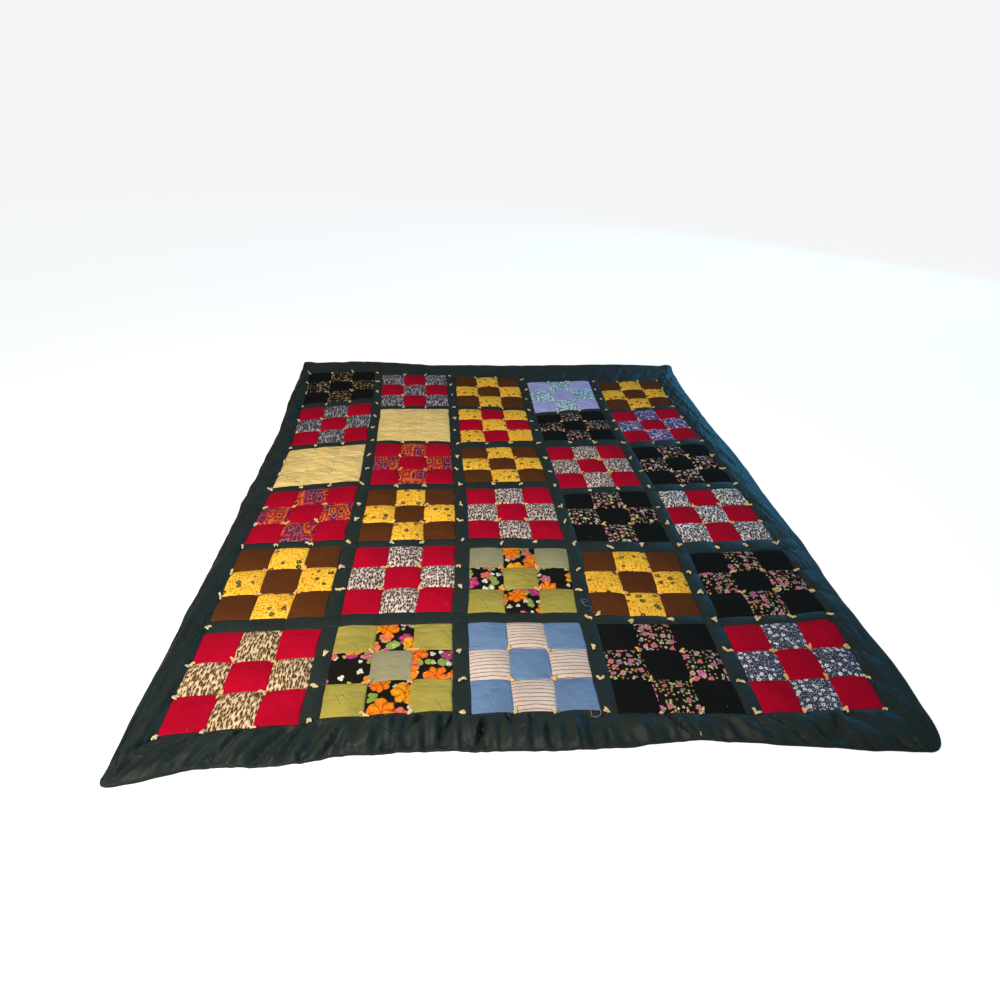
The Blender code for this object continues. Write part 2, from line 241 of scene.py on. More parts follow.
class Lay:
    """How the cloth lies: the place of any point of it in plan, and the height of its top."""

    BROAD_WANDER = 0.13          # size of the broad and the fine wander of a seam
    FINE_WANDER = 0.045
    BROAD_LUMP = 0.11            # size of the broad and the fine lumps of the filling
    FINE_LUMP = 0.038
    FINE_SHARE = 0.4             # strength of the fine ones beside the broad
    TIE_REACH = 0.050            # how far a tie's pleats reach
    KNOT_REACH = 0.008           # how far from its middle they are at their highest
    DIMPLE_REACH = 0.014
    STRAY = (0.008, 0.12)        # share of a block's and of a strip's width by which a tie strays
    BLOCK_TONE = 0.85            # tone of the yarn inside the blocks
    OTHER_TONE = (0.34, 0.015)   # its tone outside them, and what each edge to the right adds to that
    SECOND_TIE = (0.1846, -0.7326)   # a tie that was put in beside another
    LONG_TAILED = (6, 4)         # the block whose two ties at the right have long free ends
    HUMP_CENTRE = Vector((-0.78, 1.18))
    HUMP_REACH = 0.45
    UNTIED = (9, 0.01, 4.99)     # the level that has no ties between these edges
    LEAST = 0.004                # least thickness of the cloth
    # Pulls on the cloth about the head right corner of the last block, from the broadest to the one
    # that rounds its tip: each one's reach and pull
    CORNER = (9, 10)
    CORNER_PULLS = (
        (0.40, Vector((0.010, 0.002))),
        (0.11, Vector((0.005, 0.006))),
        (0.026, Vector((-0.007, -0.007))),
    )

    def __init__(self, sizes):
        noise.seed_set(ALL_OVER_SEED)    # or the vector noise would start from the time of day
        for name in QuiltSizes.__annotations__:
            setattr(self, name, getattr(sizes, name))
        self.seams = read_seams(self.tie_thick)
        self.corner = self.seams[self.CORNER[0]][self.CORNER[1]].xy
        self.ties = self.place_ties()
        self.tree = kdtree.KDTree(len(self.ties))
        for index, tie in enumerate(self.ties):
            self.tree.insert((tie["x"], tie["y"], 0.0), index)
        self.tree.balance()

    def cell_point(self, edge, level, s, t):
        """Place and lift inside the cell whose head left corner is at this edge and level."""
        head = self.seams[edge][level].lerp(self.seams[edge + 1][level], s)
        foot = self.seams[edge][level + 1].lerp(self.seams[edge + 1][level + 1], s)
        return head.lerp(foot, t)

    def drifted(self, x, y):
        """The place after the cloth's small sideways wander and the pulls about the one corner."""
        broad = noise.noise_vector(Vector((x, y, 0.3)) / self.BROAD_WANDER)
        fine = noise.noise_vector(Vector((x, y, 4.1)) / self.FINE_WANDER)
        moved_x = x + self.wander * (broad.x + self.FINE_SHARE * fine.x)
        moved_y = y + self.wander * (broad.y + self.FINE_SHARE * fine.y)
        place = Vector((x, y))
        for reach, pull in self.CORNER_PULLS:
            move = pulled(place, self.corner, reach, pull)
            moved_x += move.x
            moved_y += move.y
        return moved_x, moved_y

    def place_ties(self):
        """One row for each yarn tie: its place, its turn and the tone of its yarn."""
        draw = random.Random(ALL_OVER_SEED)
        ties = []
        for row, (level, down) in enumerate(tie_stations(2 * ROWS - 1)):
            scale = lerp(0.80, 1.0, ease(level, 1, 6))
            for edge, across in tie_stations(2 * COLUMNS - 1):
                s = across + draw.uniform(-1, 1) * self.STRAY[edge % 2]
                t = down + draw.uniform(-1, 1) * self.STRAY[level % 2]
                point = self.cell_point(edge, level, s, t)
                x, y = self.drifted(point.x, point.y)
                inside_block = edge % 2 == 0 and level % 2 == 0 and 0 < across < 1 and 0 < down < 1
                tone = self.BLOCK_TONE if inside_block else self.OTHER_TONE[0] + self.OTHER_TONE[1] * edge
                tie = {
                    "x": x,
                    "y": y,
                    "row": row,
                    "turn": draw.uniform(0, 2 * math.pi),
                    "tone": min(max(tone + draw.uniform(-0.15, 0.15), 0.3), 1.0),
                    "pleats": draw.choice((4, 5, 6)),
                    "tail": scale,
                    "size": scale,
                    "curl": 0.0,
                }
                if inside_block and BLOCKS[level // 2][edge // 2]["centre"] in FLAT_CLOTHS:
                    tie.update(tail=0.5, tone=0.5, size=0.6)
                if (edge, level) == self.LONG_TAILED and inside_block and across > 0.5:
                    tie.update(tail=2.3, tone=1.0, turn=-0.8, curl=-1.5)
                if level != self.UNTIED[0] or not self.UNTIED[1] < edge + across < self.UNTIED[2]:
                    ties.append(tie)
        second = Vector(self.SECOND_TIE)
        beside = min(ties, key=lambda tie: (Vector((tie["x"], tie["y"])) - second).length)
        ties.append({**beside, "x": second.x, "y": second.y, "turn": beside["turn"] + 2.0})
        return ties

    def tie_pull(self, x, y):
        """How the nearest tie draws the cloth down, with small pleats that run out from it."""
        _, index, away = self.tree.find((x, y, 0.0))
        if away > self.TIE_REACH:
            return 0.0
        tie = self.ties[index]
        around = math.atan2(y - tie["y"], x - tie["x"])
        wave = math.cos(tie["pleats"] * around + tie["turn"])
        fade = (1 - away / self.TIE_REACH) ** 2 * ease(away, 0.0, self.KNOT_REACH)
        return self.pleats * wave * fade - self.dimple * math.exp(-((away / self.DIMPLE_REACH) ** 2))

    def relief(self, x, y):
        """What the filling, the ties and a broad rise at the head left corner add to the even height."""
        hump = max(1 - (Vector((x, y)) - self.HUMP_CENTRE).length_squared / self.HUMP_REACH**2, 0.0)
        broad = noise.noise(Vector((x, y, 8.2)) / self.BROAD_LUMP)
        fine = noise.noise(Vector((x, y, 2.7)) / self.FINE_LUMP)
        filling = self.lumps * (broad + self.FINE_SHARE * fine)
        return filling + self.tie_pull(x, y) + self.hump * hump

    def along_seam(self, share):
        """Thickness along a seam, at this share of the way between two ties."""
        return lerp(self.tie_thick, self.seam_thick, arch(share))

    def puff(self, s, t, middle):
        """Thickness over a square of cloth that is tied at its corners and sewn along its sides."""
        low = lerp(self.tie_thick, self.seam_thick, max(arch(s), arch(t)))
        return low + (middle - self.seam_thick) * arch(s) * arch(t)

    def top(self, x, y, lift, thick):
        """A point of the top cloth over this place, with this even thickness."""
        x, y = self.drifted(x, y)
        return Vector((x, y, max(thick + lift + self.relief(x, y), self.LEAST)))


# ---------------------------------------------------------------- meshes


def settle(bm, name, cloths):
    """Makes the piece's object, gives it its cloths and hangs it under the root body. A piece that is named
    as a node of the frame takes that node's place, and the node is hidden."""
    mesh = bpy.data.meshes.new(name)
    bm.to_mesh(mesh)
    bm.free()
    mesh.shade_smooth()
    mesh.set_sharp_from_angle(angle=SHARP_ANGLE)
    for cloth in cloths:
        mesh.materials.append(cloth_material(cloth))
    piece = bpy.data.objects.new(name, mesh)
    bpy.context.scene.collection.objects.link(piece)
    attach(piece, "root")
    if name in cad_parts:
        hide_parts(name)


def add_grid(bm, wide, deep):
    """A grid in the mesh, as its points with the column and the row of each. Rows count from the foot."""
    made = bmesh.ops.create_grid(bm, x_segments=wide, y_segments=deep, size=1.0)["verts"]
    return {
        vert: (round((vert.co.x + 1) / 2 * wide), round((vert.co.y + 1) / 2 * deep))
        for vert in made
    }


def fill_below(bm, cloth_map, backing):
    """Closes a puffed top with walls drawn straight down from its rim and a flat underside."""
    rim = [edge for edge in bm.edges if edge.is_boundary]
    walls = bmesh.ops.extrude_edge_only(bm, edges=rim)["geom"]
    for vert in (item for item in walls if isinstance(item, bmesh.types.BMVert)):
        vert.co.z = 0.0
    rim = [edge for edge in bm.edges if edge.is_boundary]
    base = bmesh.ops.edgeloop_fill(bm, edges=rim)["faces"]
    base = bmesh.ops.poke(bm, faces=base)["faces"]
    for face in [item for item in walls if isinstance(item, bmesh.types.BMFace)] + base:
        face.material_index = backing
        for loop in face.loops:
            loop[cloth_map].uv = loop.vert.co.xy
    bmesh.ops.recalc_face_normals(bm, faces=bm.faces)


def sew(name, cloths, columns, rows, place, map_of, cloth_of=lambda i, j: 0):
    """A padded piece whose top is a grid. Each point lies at place(column, row), each face has the cloth
    that cloth_of gives its patch, and the map holds metres along that patch's cloth. The last of the
    cloths is also the backing."""
    bm = bmesh.new()
    cloth_map = bm.loops.layers.uv.new(CLOTH_MAP)
    deep = len(rows) - 1
    spots = {vert: (i, deep - j) for vert, (i, j) in add_grid(bm, len(columns) - 1, deep).items()}
    for vert, (column, row) in spots.items():
        vert.co = place(columns[column], rows[row])
    for face in bm.faces:
        column = min(spots[vert][0] for vert in face.verts)
        row = min(spots[vert][1] for vert in face.verts)
        patch = (columns[column][0], rows[row][0])
        face.material_index = cloth_of(*patch)
        for loop in face.loops:
            column, row = spots[loop.vert]
            loop[cloth_map].uv = map_of(patch, sum(columns[column]), sum(rows[row]))
    fill_below(bm, cloth_map, len(cloths) - 1)
    settle(bm, name, cloths)


FLAT_CLOTHS = ("yellow", "lavender")    # blocks of these lie flatter and are more creased
FLATNESS = 0.66                  # how far such a block is one broad puff instead of nine
SEAM_BEND = 0.0026               # how far the crossings of the seams inside a block stray
CREASE_SHARE = 0.25              # strength of the creases in the other blocks


def build_block(lay, row, column):
    """A block of nine patches, which puff up between the seams."""
    design = BLOCKS[row][column]
    cloths = sorted(set(design.values())) + ["teal"]
    draw = random.Random(100 * row + column)
    inner = range(1, PATCHES)
    bends = {(i, j): (draw.uniform(-1, 1), draw.uniform(-1, 1)) for i in inner for j in inner}
    offsets = {(i, j): (draw.uniform(0, 3), draw.uniform(0, 3)) for i in range(3) for j in range(3)}
    flat = design["centre"] in FLAT_CLOTHS
    creased = lay.creases if flat else lay.creases * CREASE_SHARE
    bend = SEAM_BEND / (PATCHES * lay.patch)

    def cloth_of(i, j):
        if (i, j) == (1, 1):
            return cloths.index(design["centre"])
        if (i + j) % 2:
            return cloths.index(design["sides"])
        return cloths.index(design["foot_corners"] if j else design["head_corners"])

    def place(across, down):
        (i, s), (j, t) = across, down
        share_s = (i + s) / PATCHES
        share_t = (j + t) / PATCHES
        for (bi, bj), (ds, dt) in bends.items():
            near = max(1 - abs(i + s - bi), 0.0) * max(1 - abs(j + t - bj), 0.0)
            share_s += near * ds * bend
            share_t += near * dt * bend
        point = lay.cell_point(2 * column, 2 * row, share_s, share_t)
        thick = lay.puff(s, t, lay.patch_puff)
        if flat:
            broad = lay.puff(share_s, share_t, lay.patch_puff - 0.001)
            thick = lerp(thick, broad, FLATNESS)
        elif (i + j) % 2 == 0:
            side = min(s, 1 - s, t, 1 - t) * lay.patch
            thick += lay.allowance * ease(side, 0.0, 0.002) * (1 - ease(side, 0.005, 0.009))
        inside = ease(min(share_s, 1 - share_s, share_t, 1 - share_t), 0.0, 0.04)
        slant = point.y + (0.55 * point.x if row % 2 == 0 else 0.0)
        line = noise.noise(Vector((point.x / 0.038, point.y / 0.011, 3.0 * row + column)))
        broad = noise.noise(Vector((point.x / 0.11, slant / 0.030, 9.0 + row)))
        thick += creased * inside * (line + 1.3 * broad)
        return lay.top(point.x, point.y, point.z, thick)

    def map_of(patch, across, down):
        dx, dy = offsets[patch]
        return (across * lay.patch + dx, -down * lay.patch + dy)

    steps = stations(0, PATCHES, PATCH_CELLS)
    name = f"block_r{row + 1}_c{column + 1}"
    sew(name, cloths, steps, steps, place, map_of, cloth_of)


def build_short_strip(lay, row, column):
    """A strip of sashing between two blocks of a column."""
    level = 2 * row + 1
    width = (lay.seams[2 * column][level] - lay.seams[2 * column][level + 1]).length

    def place(across, down):
        (i, s), (_, t) = across, down
        share = lerp(SEAM_GAP / width, 1 - SEAM_GAP / width, t)
        point = lay.cell_point(2 * column, level, (i + s) / PATCHES, share)
        return lay.top(point.x, point.y, point.z, lay.puff(s, t, lay.strip_puff))

    def map_of(_, across, down):
        return (across * lay.patch + 1.3 * column, -down * width + 0.7 * row)

    name = f"sash_short_c{column + 1}_r{row + 1}"
    steps = stations(0, PATCHES, PATCH_CELLS)
    sew(name, ["teal"], steps, stations(0, 1, STRIP_CELLS), place, map_of)


def build_long_strip(lay, number):
    """A strip of sashing between two columns, from head to foot."""
    edge = 2 * number + 1
    width = (lay.seams[edge + 1][0] - lay.seams[edge][0]).length
    rows = []
    for level in range(2 * ROWS - 1):
        runs = PATCHES if level % 2 == 0 else 1
        cells = PATCH_CELLS if level % 2 == 0 else STRIP_CELLS
        rows += [(level, (part + share) / runs) for part, share in stations(0, runs, cells)[:-1]]
    rows.append((2 * ROWS - 2, 1.0))

    def place(across, down):
        (_, s), (level, t) = across, down
        share = lerp(SEAM_GAP / width, 1 - SEAM_GAP / width, s)
        point = lay.cell_point(edge, level, share, t)
        between = t * PATCHES % 1.0 if level % 2 == 0 else t
        return lay.top(point.x, point.y, point.z, lay.puff(s, between, lay.strip_puff))

    def map_of(_, across, down):
        return (across * width + 0.9 * number, -down * 0.2)

    name = f"sash_long_{number + 1}"
    sew(name, ["teal"], stations(0, 1, STRIP_CELLS), rows, place, map_of)


# How strong the folds across the border are on each side, and what share of that its fine pleats have.
# How strong the folds along it are, and how far they lean outwards in each metre. The share of the lift
# that its outer edge keeps, and how thick that edge is. Sides run clockwise, and so does the distance
# along them.
BORDER_FOLDS = {
    "head": {"across": 0.22, "fine": 0.10, "along": 0.10, "lean": 0.10, "lifted": 1.00, "rim": 1.5},
    "right": {"across": 0.08, "fine": 0.00, "along": 0.24, "lean": 0.13, "lifted": 0.25, "rim": 1.0},
    "foot": {"across": 1.20, "fine": 0.75, "along": 0.05, "lean": 0.00, "lifted": 0.05, "rim": 1.0},
    "left": {"across": 0.14, "fine": 0.40, "along": 0.85, "lean": -0.30, "lifted": 0.25, "rim": 1.0},
}
# Places in plan where the outer edge lies a little further out or in: the middle, the reach and the pull
EDGE_PULLS = (
    (Vector((0.95, 1.20)), 1.30, Vector((0.000, 0.028))),
    (Vector((0.93, 0.22)), 0.42, Vector((0.016, 0.000))),
    (Vector((0.93, -0.66)), 0.30, Vector((-0.019, 0.000))),
    (Vector((0.45, -1.18)), 0.26, Vector((0.000, 0.013))),
    (Vector((-0.79, -1.22)), 0.15, Vector((0.000, 0.011))),
    (Vector((-0.62, -1.20)), 0.15, Vector((0.000, -0.009))),
)
FOLD_FADE = 54                   # steps over which the folds of one side turn into the next side's
SOFT_TOP = 0.0430                # height above which the border's folds are held down more and more
TOP_ROOM = 0.0035                # how far above that height they can reach
FADE_PLACES = (-0.3, 0.8)        # between these places from left to right the folds across it die down
ACROSS_FADE = (1.25, 0.5)        # what they are multiplied by at those places, and their fine pleats
FINE_FADE = (1.1, 0.3)
TIP_REACH = 0.055                # how far from its tip a corner at the head is lifted, and how high
TIP_LIFT = 0.010
TOP_STEPS = 36                   # steps from the seam to the outer edge
ROLL = (78, 50, 22, -8, -45)     # degrees round the rolled edge, from its top down
TUCKED = (0.95, 0.0)             # shares of the width at which the underside has its points
MAP_STEP = 0.0042                # metres of cloth between two points of a section
CLOSING_STEP = 0.006             # metres from the last section to the first


def border_seam(lay):
    """Steps along the seam inside the border, clockwise from the head left corner: the place and lift,
    the side, the way out of the blocks and the share of the way between two ties."""
    foot = 2 * ROWS - 1
    right = 2 * COLUMNS - 1
    sides = (
        ("head", (0, 1), [(lay.seams[e][0], lay.seams[e + 1][0]) for e in range(right)]),
        ("right", (1, 0), [(lay.seams[right][n], lay.seams[right][n + 1]) for n in range(foot)]),
        ("foot", (0, -1), [(lay.seams[e + 1][foot], lay.seams[e][foot]) for e in reversed(range(right))]),
        ("left", (-1, 0), [(lay.seams[0][n + 1], lay.seams[0][n]) for n in reversed(range(foot))]),
    )
    corners = {"head": (-1, 1), "right": (1, 1), "foot": (1, -1), "left": (-1, -1)}
    seam = []
    for side, out, cells in sides:
        for cell, (start, end) in enumerate(cells):
            frame_steps = 2 * PATCHES if cell % 2 == 0 else 1
            for step in range(frame_steps * BORDER_CELLS):
                share = step / (frame_steps * BORDER_CELLS)
                seam.append({
                    "point": start.lerp(end, share),
                    "side": side,
                    "out": corners[side] if cell == 0 and step == 0 else out,
                    "tie": share * PATCHES % 1.0 if cell % 2 == 0 else share,
                })
    return seam


def smoothed(values, reach):
    """Means round a closed loop, each over this many values to both sides."""
    count = len(values)
    total = 2 * reach + 1
    return [
        sum((values[(index + step) % count] for step in range(-reach, reach + 1)), values[0] * 0) / total
        for index in range(count)
    ]


def border_rise(out):
    """Share of the border's puff at this share of its width."""
    inner = 1 - (1 - min(out / 0.45, 1.0)) ** 2.4
    outer = 1 - max((out - 0.5) / 0.5, 0.0) ** 2.6
    return inner * outer


def border_fold(folds, along, out):
    """Height of the border's folds, from about -1 to 1, at these metres along and out. Pleats run
    across it, broad ones and fine ones that slant the other way, with sharp grooves here and there.
    Folds run along it, broad ones and narrow ones."""
    turn = 0.45 * noise.noise(Vector((along / 0.17, 5.5, 0.0)))
    slanted = along + turn * out
    across = noise.noise(Vector((slanted / 0.038, out / 0.13, 1.5)))
    across += folds["fine"] * noise.noise(Vector(((along - turn * out) / 0.017, out / 0.09, 6.5)))
    pinch = noise.noise(Vector(((along + 1.8 * turn * out) / 0.075, out / 0.26, 11.5)))
    here = ease(noise.noise(Vector((along / 0.07, out / 0.10, 3.0))), -0.10, 0.25)
    across -= 1.7 * max(1 - abs(pinch) / 0.125, 0.0) ** 1.3 * here
    lean = out - folds["lean"] * along
    lengthwise = noise.noise(Vector((along / 0.26, lean / 0.036, 2.5)))
    lengthwise += 0.6 * noise.noise(Vector((along / 0.15, lean / 0.016, 7.5)))
    return folds["across"] * across + folds["along"] * lengthwise


def held_down(height):
    """The height, or a lower one where it is past the soft limit."""
    over = max(height - SOFT_TOP, 0.0)
    return height - over + TOP_ROOM * math.tanh(over / TOP_ROOM)


def border_edge():
    """The frame's outer edge in even steps, and the two tips at the head that turn up."""
    outer = read_outer_edge()
    rough = [
        outer[index].lerp(outer[(index + 1) % len(outer)], step / BORDER_CELLS)
        for index in range(len(outer))
        for step in range(BORDER_CELLS)
    ]
    edge = smoothed(rough, BORDER_CELLS // 2)
    tips = (edge[0], max(edge, key=lambda point: point.x + point.y))
    for point in edge:
        point += sum((pulled(point, *pull) for pull in EDGE_PULLS), Vector((0.0, 0.0)))
    return edge, tips


def border_sections(lay, seam):
    """The border's cross sections, each with how far along the seam it is. A section runs out over the
    puffed and folded top, round the rolled edge and back under the cloth."""
    edge, tips = border_edge()
    folds = {
        name: smoothed([BORDER_FOLDS[step["side"]][name] for step in seam], FOLD_FADE // 2)
        for name in ("across", "fine", "along", "lifted", "rim")
    }
    tops = [
        lerp(0.5 - 0.5 * math.cos(math.pi * n / TOP_STEPS), n / TOP_STEPS, 0.6) for n in range(TOP_STEPS)
    ]
    sections = []
    travelled = 0.0
    for index, step in enumerate(seam):
        point = step["point"]
        travelled += (point.xy - seam[index - 1]["point"].xy).length if index else 0.0
        start = point.xy + Vector(step["out"]) * SEAM_GAP
        reach = edge[index] - point.xy
        rightward = ease(point.x, *FADE_PLACES)
        strengths = {
            "across": folds["across"][index] * lerp(*ACROSS_FADE, rightward),
            "fine": folds["fine"][index] * lerp(*FINE_FADE, rightward),
            "along": folds["along"][index],
            "lean": BORDER_FOLDS[step["side"]]["lean"],
        }
        section = []
        for out in tops:
            place = start.lerp(edge[index], out)
            rim = lay.edge_round * folds["rim"][index]
            low = lerp(lay.along_seam(step["tie"]), rim, ease(out, 0.0, 1.0))
            rise = (lay.border_puff - lay.seam_thick) * border_rise(out)
            fold = border_fold(strengths, travelled, out * reach.length)
            fade = ease(out, 0.0, 0.18) * (1 - 0.55 * ease(out, 0.85, 1.0))
            lift = point.z * (1 - ease(out, 0.45, 1.0) * (1 - folds["lifted"][index]))
            away = min((place - tip).length for tip in tips) / TIP_REACH
            lift += TIP_LIFT * max(1 - away * away, 0.0)
            crest = lay.top(place.x, place.y, lift, low + rise + lay.folds * fold * fade)
            crest.z = held_down(crest.z)
            section.append(crest)
        height = section[-1].z
        for angle in map(math.radians, ROLL):
            place = edge[index] - reach.normalized() * height / 2 * (1 - math.cos(angle))
            section.append(Vector((*lay.drifted(*place), height / 2 * (1 + math.sin(angle)))))
        for out in TUCKED:
            section.append(Vector((*lay.drifted(*start.lerp(edge[index], out)), 0.0)))
        sections.append((travelled, section))
    return sections


def build_border(lay):
    """The frame round the blocks: its cross sections joined into one closed ring."""
    seam = border_seam(lay)
    sections = border_sections(lay, seam)
    bm = bmesh.new()
    cloth_map = bm.loops.layers.uv.new(CLOTH_MAP)
    rings, around = len(sections), len(sections[0][1])
    spots = add_grid(bm, rings, around)
    for face in bm.faces:
        first = min(spots[vert][0] for vert in face.verts)
        # The map's first direction is the one in which creases run: across the border at the head and
        # foot, and along it at the sides.
        crosswise = seam[first]["side"] in ("head", "foot")
        for loop in face.loops:
            ring, spot = spots[loop.vert]
            along = sections[ring][0] if ring < rings else sections[-1][0] + CLOSING_STEP
            loop[cloth_map].uv = (spot * MAP_STEP, along) if crosswise else (along, spot * MAP_STEP)
    for vert, (ring, spot) in spots.items():
        vert.co = sections[ring % rings][1][spot % around]
    bmesh.ops.remove_doubles(bm, verts=bm.verts, dist=0.000001)
    bmesh.ops.recalc_face_normals(bm, faces=bm.faces)
    settle(bm, "border", ["puckered_teal"])


# ---------------------------------------------------------------- ties


TAIL_SIDES = 5
TIP_THIN = 0.55                  # thickness of a free end's tip, as a share of the rest
WRAPS = ((0.0, 0.0), (math.pi / 2.4, 0.16))   # turn of each wrap of a knot, and its lift in knot widths
WRAP_SHAPE = (1.0, 0.62, 0.58)   # length, width and height of a wrap, in knot widths


def add_tail(bm, tone_layer, spine, thickness, tone):
    """One free end of a tie: a tube along its spine, fullest half way and thin at its tip."""
    rings = len(spine) - 1
    spots = add_grid(bm, rings, TAIL_SIDES)
    for vert, (ring, spot) in spots.items():
        angle = 2 * math.pi * (spot % TAIL_SIDES) / TAIL_SIDES
        before, after = spine[max(ring - 1, 0)], spine[min(ring + 1, rings)]
        forward = (after - before).normalized()
        side = forward.cross(Vector((0, 0, 1))).normalized()
        fullness = 0.80 + 0.38 * math.sin(math.pi * ring / rings) + 0.1 * math.cos(3 * ring + angle)
        radius = thickness / 2 * fullness * (TIP_THIN if ring == rings else 1.0)
        vert.co = spine[ring] + (side * math.cos(angle) + side.cross(forward) * math.sin(angle)) * radius
        vert[tone_layer] = tone
    bmesh.ops.remove_doubles(bm, verts=list(spots), dist=0.00001)
    edges = (edge for vert in spots if vert.is_valid for edge in vert.link_edges)
    ends = dict.fromkeys(edge for edge in edges if edge.is_boundary)
    bmesh.ops.holes_fill(bm, edges=list(ends), sides=TAIL_SIDES)


def add_knot(bm, tone_layer, centre, turn, size, tone):
    """The knot: two wraps of yarn that lie across each other."""
    for quarter, height in WRAPS:
        made = bmesh.ops.create_uvsphere(bm, u_segments=6, v_segments=4, radius=0.5)["verts"]
        shape = Matrix.Diagonal((*(size * part for part in WRAP_SHAPE), 1.0))
        turned = Matrix.Rotation(turn + quarter, 4, "Z")
        lifted = Matrix.Translation(centre + Vector((0, 0, size * height)))
        bmesh.ops.transform(bm, matrix=lifted @ turned @ shape, verts=made)
        for vert in made:
            vert[tone_layer] = tone


def surface_under(x, y):
    """Height of the quilt's top at this place, or close beside it where a seam's gap is there."""
    view = bpy.context.evaluated_depsgraph_get()
    for shift in (0.0, 0.0007, -0.0007):
        start = Vector((x + shift, y + shift, 0.2))
        hit, place, _, _, _, _ = bpy.context.scene.ray_cast(view, start, Vector((0, 0, -1)))
        if hit:
            return place.z
    raise RuntimeError(f"no cloth lies under the tie at {x:.3f}, {y:.3f}")


# Threads that have come loose, in plan, with how thick and how pale each is: one at the foot of the blue
# block, a tangle beside a tie and a snippet on the border
LOOSE_THREADS = (
    (0.0016, 0.0, (
        (0.107, -1.040), (0.118, -1.052), (0.127, -1.062), (0.131, -1.074), (0.126, -1.085),
        (0.116, -1.088), (0.108, -1.081), (0.107, -1.070), (0.112, -1.060), (0.121, -1.056),
    )),
    (0.0010, 0.0, (
        (0.152, -0.664), (0.148, -0.676), (0.155, -0.686), (0.166, -0.682), (0.164, -0.671),
        (0.154, -0.673), (0.151, -0.688), (0.160, -0.699), (0.172, -0.697), (0.175, -0.708),
        (0.166, -0.716), (0.180, -0.722),
    )),
    (0.0013, 0.25, ((0.346, -1.139), (0.347, -1.142), (0.3465, -1.145), (0.348, -1.147))),
)


def build_tie_row(lay, yarn, row):
    """One row of knotted ties from left to right. The last one holds the loose threads too."""
    bm = bmesh.new()
    tone_layer = bm.verts.layers.float.new("tone")
    draw = random.Random(TIES_SEED + row)
    for tie in (tie for tie in lay.ties if tie["row"] == row):
        size = yarn.knot * tie["size"] * draw.uniform(0.85, 1.15)
        centre = Vector((tie["x"], tie["y"], surface_under(tie["x"], tie["y"]) + size * 0.3))
        add_knot(bm, tone_layer, centre, tie["turn"], size, tie["tone"])
        spread = draw.choice((draw.uniform(0.5, 1.1), draw.uniform(0.6, 1.6), draw.uniform(2.2, 3.0)))
        thickness = yarn.thickness * tie["size"]
        steps = 9 if tie["curl"] else 4
        for side in (-1, 1):
            heading = tie["turn"] + side * spread / 2
            reach = yarn.tail * tie["tail"] * draw.uniform(0.75, 1.25)
            curl = draw.uniform(-0.6, 0.6) + tie["curl"]
            loft = draw.uniform(0.0005, 0.0045)
            spine = []
            for step in range(steps + 1):
                share = step / steps
                angle = heading + curl * share
                x = centre.x + math.cos(angle) * reach * share
                y = centre.y + math.sin(angle) * reach * share
                z = surface_under(x, y) + thickness * 0.5 + loft * math.sin(math.pi * share)
                z += (centre.z - z) * (1 - ease(share, 0.0, 0.35))
                spine.append(Vector((x, y, z)))
            add_tail(bm, tone_layer, spine, thickness, tie["tone"])
    if row == len(tie_stations(2 * ROWS - 1)) - 1:
        for thickness, tone, places in LOOSE_THREADS:
            spine = [Vector((x, y, surface_under(x, y) + 0.0012)) for x, y in places]
            add_tail(bm, tone_layer, spine, thickness, tone)
    bmesh.ops.recalc_face_normals(bm, faces=bm.faces)
    settle(bm, f"ties_row_{row + 1:02d}", ["yarn"])


# ---------------------------------------------------------------- shader nodes


class Term:
    """An output of a shader node. Arithmetic with it adds the nodes that work it out."""

    def __init__(self, nodes, socket):
        self.nodes = nodes
        self.socket = socket

    def worked(self, operation, *others, last=False):
        """The operation on this term and the others, in that order or with this term last."""
        kind = "Math" if self.socket.type == "VALUE" else "VectorMath"
        values = (*others, self) if last else (self, *others)
        return self.nodes.add(kind, dict(enumerate(values)), operation=operation)[0]

    __abs__ = functools.partialmethod(worked, "ABSOLUTE")
    __add__ = functools.partialmethod(worked, "ADD")
    __sub__ = functools.partialmethod(worked, "SUBTRACT")
    __mul__ = functools.partialmethod(worked, "MULTIPLY")
    __truediv__ = functools.partialmethod(worked, "DIVIDE")
    __pow__ = functools.partialmethod(worked, "POWER")
    __lt__ = functools.partialmethod(worked, "LESS_THAN")
    __gt__ = functools.partialmethod(worked, "GREATER_THAN")
    __rsub__ = functools.partialmethod(worked, "SUBTRACT", last=True)
    __rtruediv__ = functools.partialmethod(worked, "DIVIDE", last=True)


